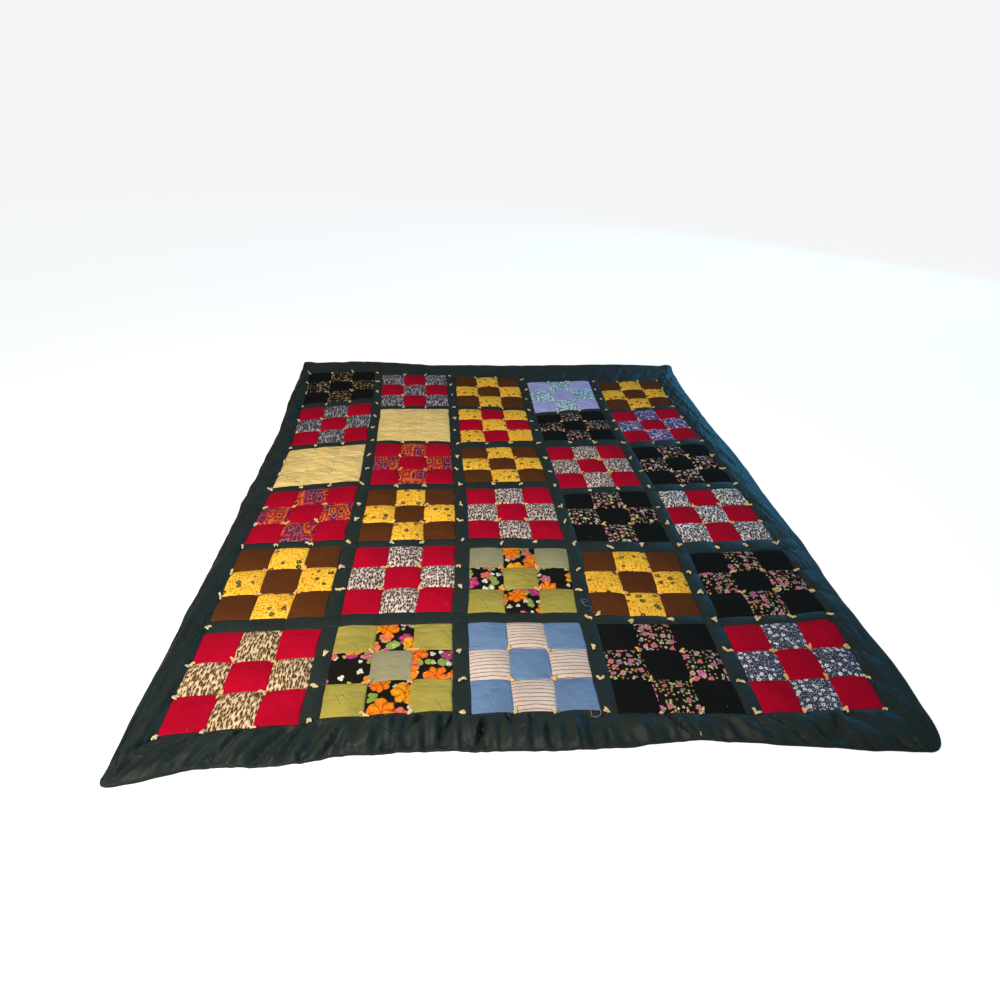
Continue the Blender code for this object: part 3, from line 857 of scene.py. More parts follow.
class Nodes:
    """Adds shader nodes to a tree. A value that is a term is linked, and any other is set."""

    def __init__(self, tree):
        self.tree = tree

    def put(self, socket, value):
        if isinstance(value, Term):
            self.tree.links.new(value.socket, socket)
        elif socket.type == "RGBA" and len(value) == 3:
            socket.default_value = (*value, 1.0)
        else:
            socket.default_value = value

    def terms(self, node):
        """The node's outputs, by number and by name."""
        found = [Term(self, socket) for socket in node.outputs]
        return {**dict(enumerate(found)), **{term.socket.name: term for term in found}}

    def add(self, kind, values=None, **settings):
        made = self.tree.nodes.new("ShaderNode" + kind)
        for name, value in settings.items():
            setattr(made, name, value)
        for socket, value in (values or {}).items():
            self.put(made.inputs[socket], value)
        return self.terms(made)

    def maths(self, operation, *values, clamp=False):
        return self.add("Math", dict(enumerate(values)), operation=operation, use_clamp=clamp)[0]

    def parts(self, vector):
        return self.add("SeparateXYZ", {0: vector})

    def channels(self, shade):
        return self.add("SeparateColor", {0: shade})

    def mix(self, share, a, b, blend="MIX"):
        return self.add("Mix", {0: share, 6: a, 7: b}, data_type="RGBA", blend_type=blend)[2]

    def shaded(self, painted, shade):
        """The colour, made darker or lighter by a value."""
        grey = self.add("CombineColor", {0: shade, 1: shade, 2: shade})[0]
        return self.mix(1.0, painted, grey, "MULTIPLY")

    def eased(self, value, low, high):
        values = {"Value": value, "From Min": low, "From Max": high}
        return self.add("MapRange", values, interpolation_type="SMOOTHSTEP")[0]

    def texture(self, vector, scale, detail=2.0, rough=0.5):
        """Smooth noise in a plane, as a value and as a colour."""
        values = {"Vector": vector, "Scale": scale, "Detail": detail, "Roughness": rough}
        return self.add("TexNoise", values, noise_dimensions="2D")

    def noise(self, *values):
        return self.texture(*values)[0]

    def cells(self, vector, scale, scatter=1.0, **settings):
        """A plane of cells, one to a point: the distance from it, its place and a colour of its own."""
        values = {"Vector": vector, "Scale": scale, "Randomness": scatter}
        return self.add("TexVoronoi", values, voronoi_dimensions="2D", **settings)

    def wavered(self, vector, scale, reach):
        """The vector, moved about by as much as the reach."""
        centred = self.texture(vector, scale, 1.0)[1] - (0.5, 0.5, 0.5)
        return vector + self.add("VectorMath", {0: centred, "Scale": reach}, operation="SCALE")[0]

    def picked(self, value, colours):
        """One of the colours, in equal shares of the value from 0 to 1."""
        ramp = self.tree.nodes.new("ShaderNodeValToRGB")
        self.put(ramp.inputs[0], value)
        ramp.color_ramp.interpolation = "CONSTANT"
        stops = ramp.color_ramp.elements
        while len(stops) < len(colours):
            stops.new(1.0)
        for index, shade in enumerate(colours):
            stops[index].position = index / len(colours)
            stops[index].color = (*shade, 1.0)
        return Term(self, ramp.outputs[0])

    def effect(self, name, values):
        """The outputs of one of the shared effects."""
        made = self.tree.nodes.new("ShaderNodeGroup")
        made.node_tree = effect_tree(name)
        for socket, value in values.items():
            self.put(made.inputs[socket], value)
        return self.terms(made)


def weave(nodes, given):
    """Plain weave: the threads' height, and the slight unevenness of their shade."""
    vector, threads = given["Vector"], given["Threads"]
    turns = threads * (2 * math.pi)
    place = nodes.parts(vector)
    over = nodes.maths("SINE", place[0] * turns) * nodes.maths("SINE", place[1] * turns)
    warp = nodes.noise(vector * (1.0, 0.04, 1.0), threads * 0.5)
    weft = nodes.noise(vector * (0.04, 1.0, 1.0), threads * 0.5)
    slub = warp + weft
    return {"Height": over * 0.35 + slub * given["Slub"], "Shade": slub * 0.5}


def wear(nodes, given):
    """Washing and use: a broad fade, fine mottling and specks of lint."""
    vector = given["Vector"]
    specks = nodes.cells(vector, 70.0)
    chosen = nodes.channels(specks["Color"])[0] < 0.007
    return {
        "Fade": nodes.eased(nodes.noise(vector, 9.0, 3.0), 0.3, 0.7),
        "Mottle": nodes.noise(vector, 160.0, 3.0, 0.6),
        "Lint": chosen * nodes.eased(specks["Distance"], 0.07, 0.03) * given["Lint"],
    }


def creases(nodes, given):
    """Soft creases of laundered cloth, and narrow lines where it was folded."""
    vector = given["Vector"]
    near = 1.0 / given["Size"]
    scale = nodes.add("CombineXYZ", {0: near / given["Stretch"], 1: near, 2: 1.0})[0]
    soft = nodes.noise(vector * scale, 1.0, 1.5)
    turned = nodes.add("VectorRotate", {"Vector": vector, "Angle": 0.75})[0]
    folds = nodes.noise(turned * scale, 0.35, 1.0, 0.4)
    line = nodes.eased(abs(folds * 2.0 - 1.0), 0.055, 0.0)
    here = nodes.eased(nodes.noise(vector, 11.0, 1.0), 0.47, 0.60)
    return {"Height": soft - line * here * given["Lines"]}


def flowers(nodes, given):
    """Scattered flowers, one to a cell. With two petals each is a pair of leaves."""
    close = given["Per Metre"] * 3.0
    vector = nodes.wavered(given["Vector"], close, given["Waver"] / given["Per Metre"])
    cell = nodes.cells(vector, given["Per Metre"], given["Scatter"])
    away = cell["Distance"]
    pick = nodes.channels(cell["Color"])
    offset = nodes.parts(vector - cell["Position"])
    petal = nodes.maths("ARCTAN2", offset[1], offset[0]) * given["Petals"] + pick[1] * (2 * math.pi)
    hollow = 1.0 - abs(nodes.maths("COSINE", petal * 0.5)) ** given["Roundness"]
    full = given["Size"] * (pick[2] * 0.45 + 0.7)
    radius = full * (1.0 - hollow * given["Notch"])
    heart = full * given["Core"]
    kept = pick[0] < given["Keep"]
    return {
        "Petals": nodes.eased(away, radius, radius * 0.88) * kept,
        "Core": nodes.eased(away, heart, heart * 0.75) * kept,
        "Pick": nodes.maths("FRACT", pick[0] * 17.3),
        "Rays": hollow ** 1.5,
    }


def flecks(nodes, given):
    """Close flecks, each with a softer shade round it."""
    scale = nodes.add("CombineXYZ", {0: 1.0 / given["Across"], 1: 1.0 / given["Along"], 2: 1.0})[0]
    cell = nodes.cells(nodes.wavered(given["Vector"] * scale, 1.7, given["Waver"]), 1.0, 0.9)
    pick = nodes.channels(cell["Color"])
    size = given["Cover"] * (pick[0] * 0.5 + 0.75)
    soft = pick[1] * 0.25 + size
    return {
        "Dark": nodes.eased(cell["Distance"], size + 0.05, size - 0.05),
        "Shade": nodes.eased(cell["Distance"], soft + 0.12, soft),
    }


def rounds(nodes, given):
    """Rows of nested rounds and squares, as a value that a ramp turns into colours."""
    vector = nodes.wavered(given["Vector"] * (1.3, 0.75, 1.0), 70.0, 0.012)
    near = nodes.cells(vector, given["Per Metre"], 0.75)
    square = nodes.cells(vector, given["Per Metre"], 0.75, distance="CHEBYCHEV")
    region = nodes.eased(nodes.noise(given["Vector"], 7.0, 0.0), 0.48, 0.52)
    away = nodes.add("Mix", {0: region, 2: near["Distance"], 3: square["Distance"]})[0]
    pick = nodes.channels(near["Color"])
    return {"Value": nodes.maths("FRACT", away * 1.35 + pick[1] * 0.35), "Pick": pick[0]}


# The effects that cloths share: what works out the outputs of each, and its inputs beside the vector
EFFECTS = {
    "weave": (weave, {"Threads": 2200.0, "Slub": 0.5}),
    "wear": (wear, {"Lint": 0.6}),
    "creases": (creases, {"Size": 0.014, "Stretch": 2.5, "Lines": 0.5}),
    "flowers": (flowers, {
        "Per Metre": 40.0, "Size": 0.42, "Petals": 5.0, "Notch": 0.35, "Core": 0.3, "Keep": 0.9,
        "Scatter": 0.8, "Waver": 0.20, "Roundness": 0.7,
    }),
    "flecks": (flecks, {"Across": 0.010, "Along": 0.017, "Cover": 0.35, "Waver": 0.7}),
    "rounds": (rounds, {"Per Metre": 24.0}),
}


def effect_tree(name):
    """The node group of an effect, made when it is first asked for."""
    if name in bpy.data.node_groups:
        return bpy.data.node_groups[name]
    work, values = EFFECTS[name]
    tree = bpy.data.node_groups.new(name, "ShaderNodeTree")
    tree.interface.new_socket(name="Vector", in_out="INPUT", socket_type="NodeSocketVector")
    for label, value in values.items():
        socket = tree.interface.new_socket(name=label, in_out="INPUT", socket_type="NodeSocketFloat")
        socket.default_value = value
    nodes = Nodes(tree)
    found = work(nodes, nodes.terms(tree.nodes.new("NodeGroupInput")))
    for label in found:
        tree.interface.new_socket(name=label, in_out="OUTPUT", socket_type="NodeSocketFloat")
    out = tree.nodes.new("NodeGroupOutput")
    for label, term in found.items():
        nodes.put(out.inputs[label], term)
    return tree


# ---------------------------------------------------------------- cloths


BLACK = (0.011, 0.009, 0.008)
CREAM = (0.72, 0.62, 0.42)
WHITE = (0.74, 0.72, 0.68)
TAN = (0.42, 0.24, 0.10)
PINK = (0.55, 0.18, 0.24)
MAUVE = (0.50, 0.18, 0.42)
LIME = (0.42, 0.52, 0.10)
HAY = (0.52, 0.50, 0.20)
ORANGE = (0.86, 0.20, 0.012)
AMBER = (0.88, 0.44, 0.015)
MAGENTA = (0.50, 0.045, 0.22)
LEAF = (0.22, 0.36, 0.07)
MIST = (0.42, 0.46, 0.62)
CORAL = (0.78, 0.16, 0.10)


SPRIG_VALUES = ("Per Metre", "Size", "Petals", "Notch", "Core", "Keep")
RAY_SHADE = (0.16, 0.05, 0.02)

# Printed florals: the ground, then layers of scattered leaves and flowers. A layer has its values for the
# effect in the order of SPRIG_VALUES, its colours and that of its cores, how far it is shifted, and how
# strong the rays and blots of its petals are.
FLORALS = {
    "tan_floral": (
        BLACK,
        (95, 0.34, 2, 0.80, 0.0, 0.65, (TAN, (0.50, 0.38, 0.24), (0.12, 0.10, 0.05)), TAN, 0.2, 0),
        (52, 0.33, 5, 0.35, 0.3, 0.65, (TAN, (0.56, 0.42, 0.27), (0.30, 0.13, 0.06)), BLACK, 0.7, 0),
    ),
    "meadow_floral": (
        (0.16, 0.30, 0.44),
        (85, 0.42, 2, 0.75, 0.0, 0.85, ((0.34, 0.74, 0.80), (0.86, 0.92, 0.94)), LEAF, 0.3, 0),
        (58, 0.40, 5, 0.30, 0.3, 0.85, ((0.90, 0.92, 0.88), (0.38, 0.68, 0.90), (0.76, 0.90, 1.00)),
         LEAF, 0.9, 0),
    ),
    "dusk_floral": (
        BLACK,
        (100, 0.34, 2, 0.80, 0.0, 0.6, (CREAM, (0.40, 0.22, 0.24), (0.26, 0.34, 0.16)), TAN, 0.4, 0),
        (55, 0.32, 5, 0.35, 0.3, 0.6, ((0.62, 0.30, 0.28), (0.60, 0.44, 0.26), (0.50, 0.24, 0.40)),
         BLACK, 0.1, 0),
    ),
    "bluebell_floral": (
        (0.075, 0.062, 0.22),
        (90, 0.40, 2, 0.70, 0.0, 0.85, (MIST, (0.20, 0.20, 0.42)), LEAF, 0.5, 0),
        (60, 0.40, 5, 0.30, 0.3, 0.8, ((0.84, 0.83, 0.86), MIST, (0.30, 0.14, 0.34), (0.66, 0.66, 0.80)),
         MAUVE, 0.2, 0),
    ),
    "blossom_floral": (
        BLACK,
        (95, 0.35, 2, 0.80, 0.0, 0.65, ((0.56, 0.50, 0.48), TAN, (0.18, 0.22, 0.08), PINK), TAN, 0.8, 0),
        (55, 0.35, 5, 0.35, 0.3, 0.65, ((0.74, 0.66, 0.66), PINK, (0.66, 0.52, 0.48)), BLACK, 0.3, 0),
    ),
    "posy_floral": (
        BLACK,
        (85, 0.35, 2, 0.80, 0.0, 0.65, ((0.20, 0.26, 0.08), (0.52, 0.50, 0.44), TAN), LEAF, 0.6, 0),
        (48, 0.36, 5, 0.35, 0.3, 0.65, (PINK, (0.56, 0.52, 0.50), (0.44, 0.18, 0.30), HAY), CREAM, 0.5, 0),
    ),
    "garden_floral": (
        BLACK,
        (92, 0.36, 4, 0.60, 0.3, 0.70, (HAY, CREAM, (0.20, 0.26, 0.08), CORAL, HAY), TAN, 0.1, 0),
        (40, 0.20, 8, 0.15, 0.55, 0.5, (MIST, WHITE), BLACK, 0.45, 0),
        (43, 0.37, 6, 0.28, 0.3, 0.60, (PINK, (0.44, 0.18, 0.36), PINK, (0.70, 0.32, 0.36)),
         (0.50, 0.08, 0.16), 0.9, 0),
    ),
    "navy_rings": (
        (0.052, 0.058, 0.092),
        (165, 0.34, 2, 0.75, 0.0, 0.76, ((0.74, 0.75, 0.84), MIST, (0.28, 0.30, 0.39)), WHITE, 0.3, 0),
        (62, 0.34, 5, 0.30, 0.34, 0.64, ((0.95, 0.96, 1.00), (0.78, 0.79, 0.87)),
         (0.05, 0.055, 0.09), 0.6, 0),
    ),
    "gold_heads": (
        "gold",
        (80, 0.27, 3, 0.50, 0.0, 0.50, ((0.42, 0.17, 0.02), (0.66, 0.22, 0.01), (0.28, 0.14, 0.03)),
         TAN, 0.35, 0),
        (130, 0.38, 3, 0.50, 0.0, 0.58, ((0.84, 0.24, 0.010), (1.00, 0.74, 0.16), (0.46, 0.17, 0.01)),
         TAN, 0.5, 0),
        (26, 0.22, 7, 0.25, 0.30, 0.60, ((0.060, 0.060, 0.030), (0.10, 0.09, 0.045)),
         (0.46, 0.32, 0.08), 0.15, 0),
    ),
    "bloom_print": (
        BLACK,
        (26, 0.48, 2, 0.62, 0.0, 0.48, (LEAF, (0.34, 0.42, 0.08), (0.24, 0.34, 0.10)), LEAF, 0.75, 0.4),
        (46, 0.42, 3, 0.45, 0.0, 0.30, (WHITE, (0.66, 0.70, 0.60), LIME), AMBER, 0.35, 0.4),
        (20, 0.46, 5, 0.24, 0.14, 0.50, (MAGENTA, PINK, CORAL), AMBER, 0.95, 0.7),
        (14.5, 0.48, 6, 0.26, 0.12, 0.72, (ORANGE, (0.90, 0.28, 0.015), AMBER, (0.84, 0.16, 0.012)),
         (0.56, 0.07, 0.01), 0.37, 0.80),
    ),
}

# Flecked prints: their ground, the shade round a fleck and the fleck, then its width, its length and how
# much of the cloth flecks cover
FLECKED = {
    "leopard_tan": ((0.78, 0.57, 0.38), (0.42, 0.28, 0.15), (0.065, 0.045, 0.026), 0.0054, 0.0150, 0.36),
    "leopard_grey": ((0.78, 0.66, 0.60), (0.36, 0.27, 0.25), (0.050, 0.039, 0.041), 0.0060, 0.0125, 0.35),
    "leopard_white": ((0.92, 0.90, 0.92), (0.36, 0.33, 0.35), (0.045, 0.040, 0.047), 0.0062, 0.0125, 0.36),
    "slate_fleck": ((0.43, 0.39, 0.39), (0.14, 0.12, 0.145), (0.038, 0.038, 0.050), 0.0052, 0.026, 0.34),
}

STRIPE_STEP = 0.0115             # metres from one printed line to the next
STRIPE_GROUND = (0.68, 0.56, 0.50)
STRIPE_LINE = (0.19, 0.16, 0.16)

# Bands of the nested rounds, of two kinds
HOT_BANDS = (
    (0.78, 0.16, 0.012), (0.05, 0.008, 0.015), (0.66, 0.17, 0.03),
    (0.34, 0.010, 0.025), (0.48, 0.04, 0.03), (0.50, 0.12, 0.05),
)
DARK_BANDS = (
    (0.40, 0.06, 0.14), (0.34, 0.010, 0.03), (0.07, 0.020, 0.12),
    (0.40, 0.11, 0.11), (0.10, 0.012, 0.05), (0.40, 0.025, 0.03),
)


def setting_colour(name):
    """A colour of the settings."""
    return tuple(getattr(bpy.context.scene.quilt_colours, name))


def paint_floral(nodes, vector, name):
    """Layers of scattered leaves and flowers on their ground."""
    ground, *layers = FLORALS[name]
    painted = setting_colour(ground) if isinstance(ground, str) else ground
    for *values, colours, core_colour, shift, rays in layers:
        placed = vector + (shift, 1.7 * shift, 0.0)
        found = nodes.effect("flowers", {"Vector": placed, **dict(zip(SPRIG_VALUES, values))})
        pick = found["Pick"]
        if rays:
            pick = (nodes.noise(placed, 9.0 * values[0]) - 0.5) * 1.2 + pick
        petals = nodes.picked(pick, colours)
        if rays:
            petals = nodes.mix(found["Rays"] * rays, petals, RAY_SHADE, "MULTIPLY")
        painted = nodes.mix(found["Petals"], painted, petals)
        painted = nodes.mix(found["Core"], painted, core_colour)
    return painted


def paint_flecks(nodes, vector, name):
    """Close dark flecks on a pale ground."""
    ground, shade, dark, across, along, cover = FLECKED[name]
    found = nodes.effect("flecks", {"Vector": vector, "Across": across, "Along": along, "Cover": cover})
    return nodes.mix(found["Dark"], nodes.mix(found["Shade"], ground, shade), dark)


def paint_stripes(nodes, vector):
    """Thin, slightly wavy dark lines across a cream cloth."""
    along = nodes.parts(vector)[1] + nodes.noise(vector, 24.0, 1.0) * 0.0045
    line = abs(nodes.maths("FRACT", along * (1 / STRIPE_STEP)) - 0.5)
    mask = nodes.eased(line, nodes.noise(vector, 60.0) * 0.10 + 0.09, 0.05)
    return nodes.mix(mask, STRIPE_GROUND, STRIPE_LINE)


def paint_rounds(nodes, vector):
    """A made up print of nested rounds and squares in crimson, orange and plum."""
    found = nodes.effect("rounds", {"Vector": vector})
    hot = nodes.picked(found["Value"], HOT_BANDS)
    dark = nodes.picked(found["Value"], DARK_BANDS)
    return nodes.mix(found["Pick"] > 0.6, hot, dark)


def cloth_paint(nodes, vector, name):
    """The print of a cloth, or its one colour."""
    if name in FLORALS:
        return paint_floral(nodes, vector, name)
    if name in FLECKED:
        return paint_flecks(nodes, vector, name)
    if name == "pinstripe":
        return paint_stripes(nodes, vector)
    if name == "round_print":
        return paint_rounds(nodes, vector)
    return setting_colour(name)


# Roughness and shine of a cloth, and the depth, size, stretch and lines of its fine creases
FINISHES = {
    "teal": (0.52, 0.13, 0.0018, 0.021, 1.8, 0.40),
    "puckered_teal": (0.46, 0.14, 0.0032, 0.020, 2.6, 0.40),
    "yellow": (0.90, 0.10, 0.0030, 0.0140, 1.5, 0.40),
    "lavender": (0.90, 0.10, 0.0050, 0.0130, 2.0, 0.50),
    "olive": (0.90, 0.06, 0.0044, 0.022, 2.2, 0.25),
    "blue": (0.90, 0.06, 0.0034, 0.026, 1.6, 0.20),
}
OTHER_FINISH = (0.90, 0.05, 0.0013, 0.018, 2.0, 0.35)
PAINTED_AS = {"puckered_teal": "teal"}  # a cloth that has another one's colour
LINT = (0.60, 0.58, 0.52)


def new_material(name):
    """A material that is still plain, with its shader and what adds nodes to it."""
    material = bpy.data.materials.new(name)
    material.use_nodes = True
    return material, material.node_tree.nodes["Principled BSDF"], Nodes(material.node_tree)


def cloth_material(name):
    """The material of one cloth, made when it is first asked for."""
    if name in bpy.data.materials:
        return bpy.data.materials[name]
    if name == "yarn":
        return yarn_material(name)
    material, shader, nodes = new_material(name)
    roughness, shine, crease, size, stretch, lines = FINISHES.get(name, OTHER_FINISH)
    vector = nodes.add("UVMap", uv_map=CLOTH_MAP)[0]
    threads = nodes.effect("weave", {"Vector": vector})
    worn = nodes.effect("wear", {"Vector": vector})
    values = {"Vector": vector, "Size": size, "Stretch": stretch, "Lines": lines}
    creased = nodes.effect("creases", values)
    shade = (worn["Mottle"] * 0.36 + 0.82) * (worn["Fade"] * 0.18 + 0.91) * (threads["Shade"] * 0.16 + 0.92)
    painted = nodes.shaded(cloth_paint(nodes, vector, PAINTED_AS.get(name, name)), shade)
    nodes.put(shader.inputs["Base Color"], nodes.mix(worn["Lint"], painted, LINT))
    nodes.put(shader.inputs["Roughness"], worn["Mottle"] * 0.12 + (roughness - 0.06))
    shader.inputs["Specular IOR Level"].default_value = shine
    values = {"Height": creased["Height"], "Distance": crease, "Strength": 1.0}
    normal = nodes.add("Bump", values)[0]
    values = {"Height": threads["Height"], "Distance": 0.00012, "Strength": 0.8, "Normal": normal}
    nodes.put(shader.inputs["Normal"], nodes.add("Bump", values)[0])
    return material


def yarn_material(name):
    """Soft plied yarn: by its tone, grey at 0, cream from a quarter on and gold at 1, with painted shade in
    the grooves between its plies.
    """
    material, shader, nodes = new_material(name)
    vector = nodes.add("TexCoord")["Object"]
    tone = nodes.add("Attribute", attribute_name="tone")["Fac"]
    fuzz = nodes.add("TexNoise", {"Vector": vector, "Scale": 900.0, "Detail": 3.0})[0]
    plies = nodes.add("TexWave", {"Vector": vector, "Scale": 210.0, "Distortion": 5.0})[1]
    creamy = nodes.maths("MULTIPLY", tone, 4.0, clamp=True)
    painted = nodes.mix(creamy, setting_colour("thread"), setting_colour("cream_yarn"))
    gilded = nodes.maths("MULTIPLY_ADD", tone, 1.35, -0.35, clamp=True)
    painted = nodes.mix(gilded, painted, setting_colour("gold_yarn"))
    # Painted shade and highlights: the colour is darker in the grooves of the plies and lighter on their
    # crowns, and the fuzz adds the fibres' uneven tone
    nodes.put(shader.inputs["Base Color"], nodes.shaded(painted, fuzz * plies * 1.15 + 0.80))
    nodes.put(shader.inputs["Roughness"], fuzz * 0.2 + 0.78)
    shader.inputs["Sheen Weight"].default_value = 0.06
    shader.inputs["Specular IOR Level"].default_value = 0.25
    values = {"Height": plies + fuzz * 0.6, "Distance": 0.0009, "Strength": 1.0}
    nodes.put(shader.inputs["Normal"], nodes.add("Bump", values)[0])
    return material


# ---------------------------------------------------------------- which cloth goes where


def nine(corners, sides, centre=None, foot_corners=None):
    """The cloths of a block: its corner patches, the patches between them and its centre."""
    return {
        "head_corners": corners,
        "foot_corners": foot_corners or corners,
        "sides": sides,
        "centre": centre or corners,
    }


BLOCKS = (
    (nine("black", "tan_floral"), nine("slate_fleck", "red"), nine("brown", "gold_heads"),
     nine("lavender", "meadow_floral"), nine("brown", "gold_heads")),
    (nine("red", "slate_fleck"), nine("yellow", "yellow"), nine("gold_heads", "red"),
     nine("black", "dusk_floral"), nine("red", "bluebell_floral")),
    (nine("yellow", "yellow"), nine("red", "round_print"), nine("brown", "gold_heads"),
     nine("red", "leopard_grey"), nine("black", "blossom_floral")),
    (nine("red", "round_print"), nine("brown", "gold_heads"), nine("red", "leopard_grey"),
     nine("black", "posy_floral"), nine("leopard_white", "red")),
    (nine("brown", "gold_heads"), nine("red", "leopard_grey"),
     nine("sage", "bloom_print", centre="olive", foot_corners="olive"), nine("brown", "gold_heads"),
     nine("black", "garden_floral")),
    (nine("red", "leopard_tan"), nine("olive", "bloom_print", centre="sage"), nine("blue", "pinstripe"),
     nine("black", "garden_floral"), nine("red", "navy_rings")),
)


# ---------------------------------------------------------------- operators


KEPT = {}


def lay_of(context):
    """How the cloth lies with the present sizes. It is worked out once."""
    if "lay" not in KEPT:
        KEPT["lay"] = Lay(context.scene.quilt_sizes)
    return KEPT["lay"]


class QUILT_OT_blocks(bpy.types.Operator):
    """Builds the thirty padded blocks of nine patches"""

    bl_idname = "quilt.blocks"
    bl_label = "Blocks"

    def execute(self, context):
        lay = lay_of(context)
        for row in range(ROWS):
            for column in range(COLUMNS):
                build_block(lay, row, column)
        return {"FINISHED"}


class QUILT_OT_strips(bpy.types.Operator):
    """Builds the sashing: short strips between the rows, and long strips from head to foot"""

    bl_idname = "quilt.strips"
    bl_label = "Strips"

    def execute(self, context):
        lay = lay_of(context)
        for row in range(ROWS - 1):
            for column in range(COLUMNS):
                build_short_strip(lay, row, column)
        for number in range(COLUMNS - 1):
            build_long_strip(lay, number)
        return {"FINISHED"}


class QUILT_OT_border(bpy.types.Operator):
    """Builds the puckered border with its rolled edge"""

    bl_idname = "quilt.border"
    bl_label = "Border"

    def execute(self, context):
        build_border(lay_of(context))
        return {"FINISHED"}


class QUILT_OT_ties(bpy.types.Operator):
    """Builds the yarn ties, one joined piece for each row of them"""

    bl_idname = "quilt.ties"
    bl_label = "Yarn Ties"

    def execute(self, context):
        lay = lay_of(context)
        for row in range(len(tie_stations(2 * ROWS - 1))):
            build_tie_row(lay, context.scene.quilt_yarn, row)
        return {"FINISHED"}


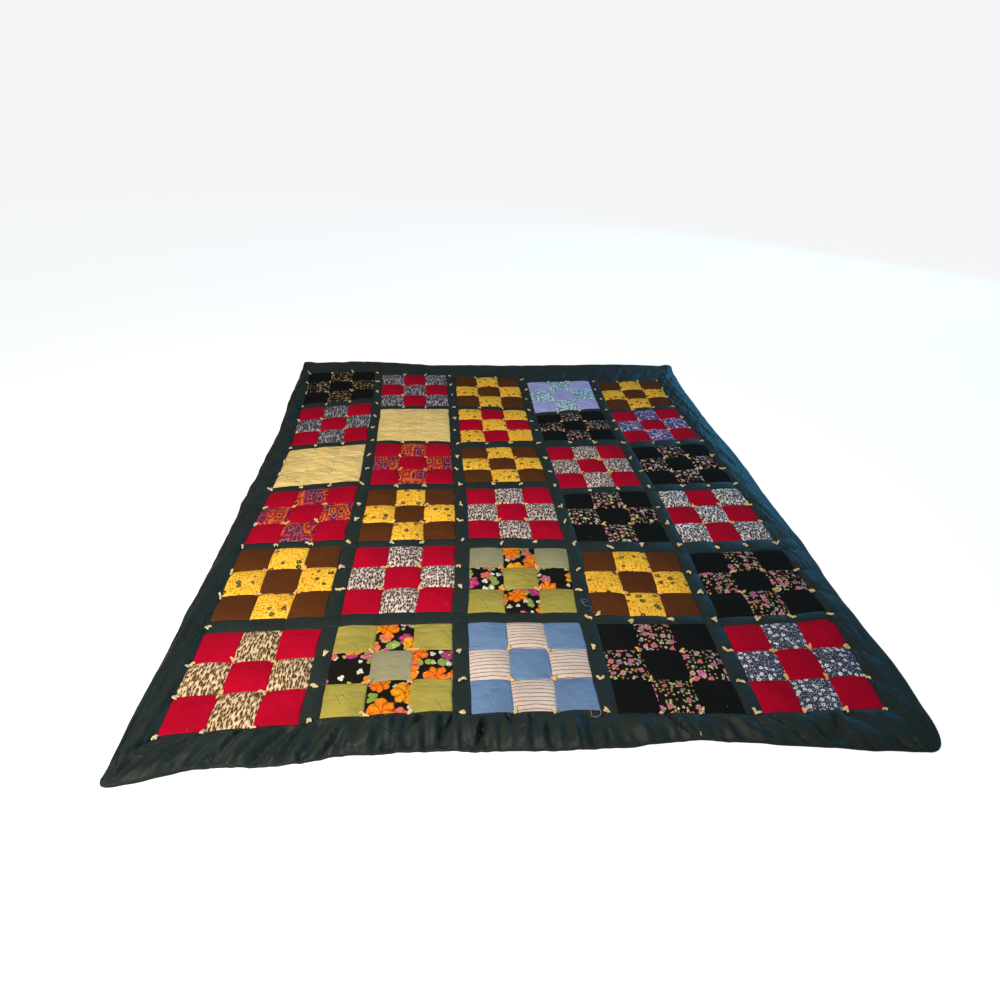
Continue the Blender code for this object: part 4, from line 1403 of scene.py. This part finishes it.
class QUILT_OT_stage(bpy.types.Operator):
    """Builds the pale floor, the camera and the soft lights"""

    bl_idname = "quilt.stage"
    bl_label = "Stage"

    CAMERA = Vector((-0.2253, -2.1547, 1.2480))
    YAW = math.radians(5.056)    # to the right of straight ahead
    PITCH = math.radians(31.093)
    ROLL = math.radians(-2.804)
    SENSOR = 36.0
    FLOOR_SIDE = 40.0            # from the middle of the floor to its sides
    FLOOR_BACK = 8.0             # from the middle to its near edge, and to where it starts to curve up
    FLOOR_LENGTH = 24.0          # along the floor and up its curve
    FLOOR_DROP = 0.0004          # how far it lies below the cloth
    SWEEP = 4.0                  # radius of the floor's curve
    # Each light: its place, what it points at, its size and its colour
    WINDOW = ((3.6, 3.9, 1.7), (0, 0, 0), (2.6, 1.8), (0.06, 0.52, 1.0))
    LAMP = ((-1.1, -2.3, 1.9), (-0.5, -0.1, 0), (1.4, 1.4), (1.0, 0.890, 0.740))
    LAMP_SPREAD = math.radians(95)
    WARM_SKY = (1.46, 1.18, 0.88)   # colour of the even light from the left, and from the right
    COOL_SKY = (0.24, 0.74, 1.14)
    WHITE = (1.0, 1.0, 1.0)

    def execute(self, context):
        stage = context.scene.quilt_stage
        self.add_floor(stage)
        self.add_camera(context.scene, stage)
        self.add_light("window_light", stage.window, *self.WINDOW)
        lamp = self.add_light("lamp_light", stage.lamp, *self.LAMP)
        lamp.spread = self.LAMP_SPREAD
        self.add_surround(context.scene, stage)
        context.scene.view_settings.view_transform = "Standard"
        return {"FINISHED"}

    def add_surround(self, scene, stage):
        """Even light, warm from the left and cool from the right. The camera sees it as white."""
        world = bpy.data.worlds.new("soft_surround")
        world.use_nodes = True
        nodes = Nodes(world.node_tree)
        seen = nodes.add("LightPath")["Is Camera Ray"]
        way = nodes.parts(nodes.add("TexCoord")["Generated"])[0]
        warm = tuple(stage.sky * part for part in self.WARM_SKY)
        cool = tuple(stage.sky * part for part in self.COOL_SKY)
        even = nodes.mix(nodes.eased(way, -0.4, 0.4), warm, cool)
        background = world.node_tree.nodes["Background"]
        nodes.put(background.inputs["Color"], nodes.mix(seen, even, self.WHITE))
        scene.world = world

    def add_floor(self, stage):
        """A broad floor that curves up behind the head end. Its glow shows, and doesn't light the cloth."""
        flat = 2 * self.FLOOR_BACK
        bm = bmesh.new()
        bmesh.ops.create_grid(bm, x_segments=2, y_segments=60, size=1.0)
        for vert in bm.verts:
            along = self.FLOOR_LENGTH * (vert.co.y + 1) / 2
            turn = min(max(along - flat, 0.0) / self.SWEEP, math.pi / 2)
            y = min(along, flat) + self.SWEEP * math.sin(turn) - self.FLOOR_BACK
            rest = max(along - flat - self.SWEEP * math.pi / 2, 0.0)
            z = self.SWEEP * (1 - math.cos(turn)) + rest - self.FLOOR_DROP
            vert.co = Vector((self.FLOOR_SIDE * vert.co.x, y, z))
        mesh = bpy.data.meshes.new("floor")
        bm.to_mesh(mesh)
        bm.free()
        mesh.shade_smooth()
        floor = bpy.data.objects.new("floor", mesh)
        material, shader, nodes = new_material("pale_floor")
        shader.inputs["Base Color"].default_value = (*stage.floor, 1.0)
        shader.inputs["Roughness"].default_value = 0.9
        shader.inputs["Specular IOR Level"].default_value = 0.0
        seen = nodes.add("LightPath")["Is Camera Ray"]
        nodes.put(shader.inputs["Emission Color"], nodes.mix(seen, (0.0, 0.0, 0.0), self.WHITE))
        shader.inputs["Emission Strength"].default_value = stage.glow
        mesh.materials.append(material)
        bpy.context.scene.collection.objects.link(floor)

    def add_camera(self, scene, stage):
        """The camera, turned by its yaw and pitch and then rolled about the way it looks."""
        camera = bpy.data.cameras.new("camera")
        camera.lens = stage.lens
        camera.sensor_width = self.SENSOR
        held = bpy.data.objects.new("camera", camera)
        scene.collection.objects.link(held)
        forward = Vector((
            math.sin(self.YAW) * math.cos(self.PITCH),
            math.cos(self.YAW) * math.cos(self.PITCH),
            -math.sin(self.PITCH),
        ))
        level = Vector((math.cos(self.YAW), -math.sin(self.YAW), 0.0))
        down = forward.cross(level)
        right = level * math.cos(self.ROLL) + down * math.sin(self.ROLL)
        up = level * math.sin(self.ROLL) - down * math.cos(self.ROLL)
        turned = Matrix((right, up, -forward)).transposed().to_4x4()
        held.matrix_world = Matrix.Translation(self.CAMERA) @ turned
        scene.camera = held

    def add_light(self, name, power, place, target, size, shade):
        """A rectangular light at a place, turned to its target."""
        light = bpy.data.lights.new(name, "AREA")
        light.shape = "RECTANGLE"
        light.size, light.size_y = size
        light.energy = power
        light.color = shade
        lamp = bpy.data.objects.new(name, light)
        lamp.location = place
        lamp.rotation_euler = (Vector(target) - Vector(place)).to_track_quat("-Z", "Y").to_euler()
        bpy.context.scene.collection.objects.link(lamp)
        return light


class QUILT_PT_panel(bpy.types.Panel):
    """Lists the quilt's operators and settings"""

    bl_idname = "QUILT_PT_panel"
    bl_label = "Tied Patchwork Quilt"
    bl_space_type = "VIEW_3D"
    bl_region_type = "UI"
    bl_category = "Quilt"

    def draw(self, context):
        for operator in OPERATORS:
            self.layout.operator(operator.bl_idname)
        for name in SETTINGS:
            box = self.layout.box()
            group = getattr(context.scene, name)
            for label in type(group).__annotations__:
                box.prop(group, label)


OPERATORS = (QUILT_OT_blocks, QUILT_OT_strips, QUILT_OT_border, QUILT_OT_ties, QUILT_OT_stage)
SETTINGS = {
    "quilt_sizes": QuiltSizes,
    "quilt_yarn": QuiltYarn,
    "quilt_colours": QuiltColours,
    "quilt_stage": QuiltStage,
}


def register():
    for item in (*SETTINGS.values(), *OPERATORS, QUILT_PT_panel):
        bpy.utils.register_class(item)
    for name, group in SETTINGS.items():
        setattr(bpy.types.Scene, name, bpy.props.PointerProperty(type=group))


def unregister():
    for name in SETTINGS:
        delattr(bpy.types.Scene, name)
    for item in reversed((*SETTINGS.values(), *OPERATORS, QUILT_PT_panel)):
        bpy.utils.unregister_class(item)


def main():
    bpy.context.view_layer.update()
    register()
    bpy.ops.quilt.blocks()
    bpy.ops.quilt.strips()
    bpy.ops.quilt.border()
    bpy.ops.quilt.ties()
    bpy.ops.quilt.stage()


if __name__ == "__main__":
    main()
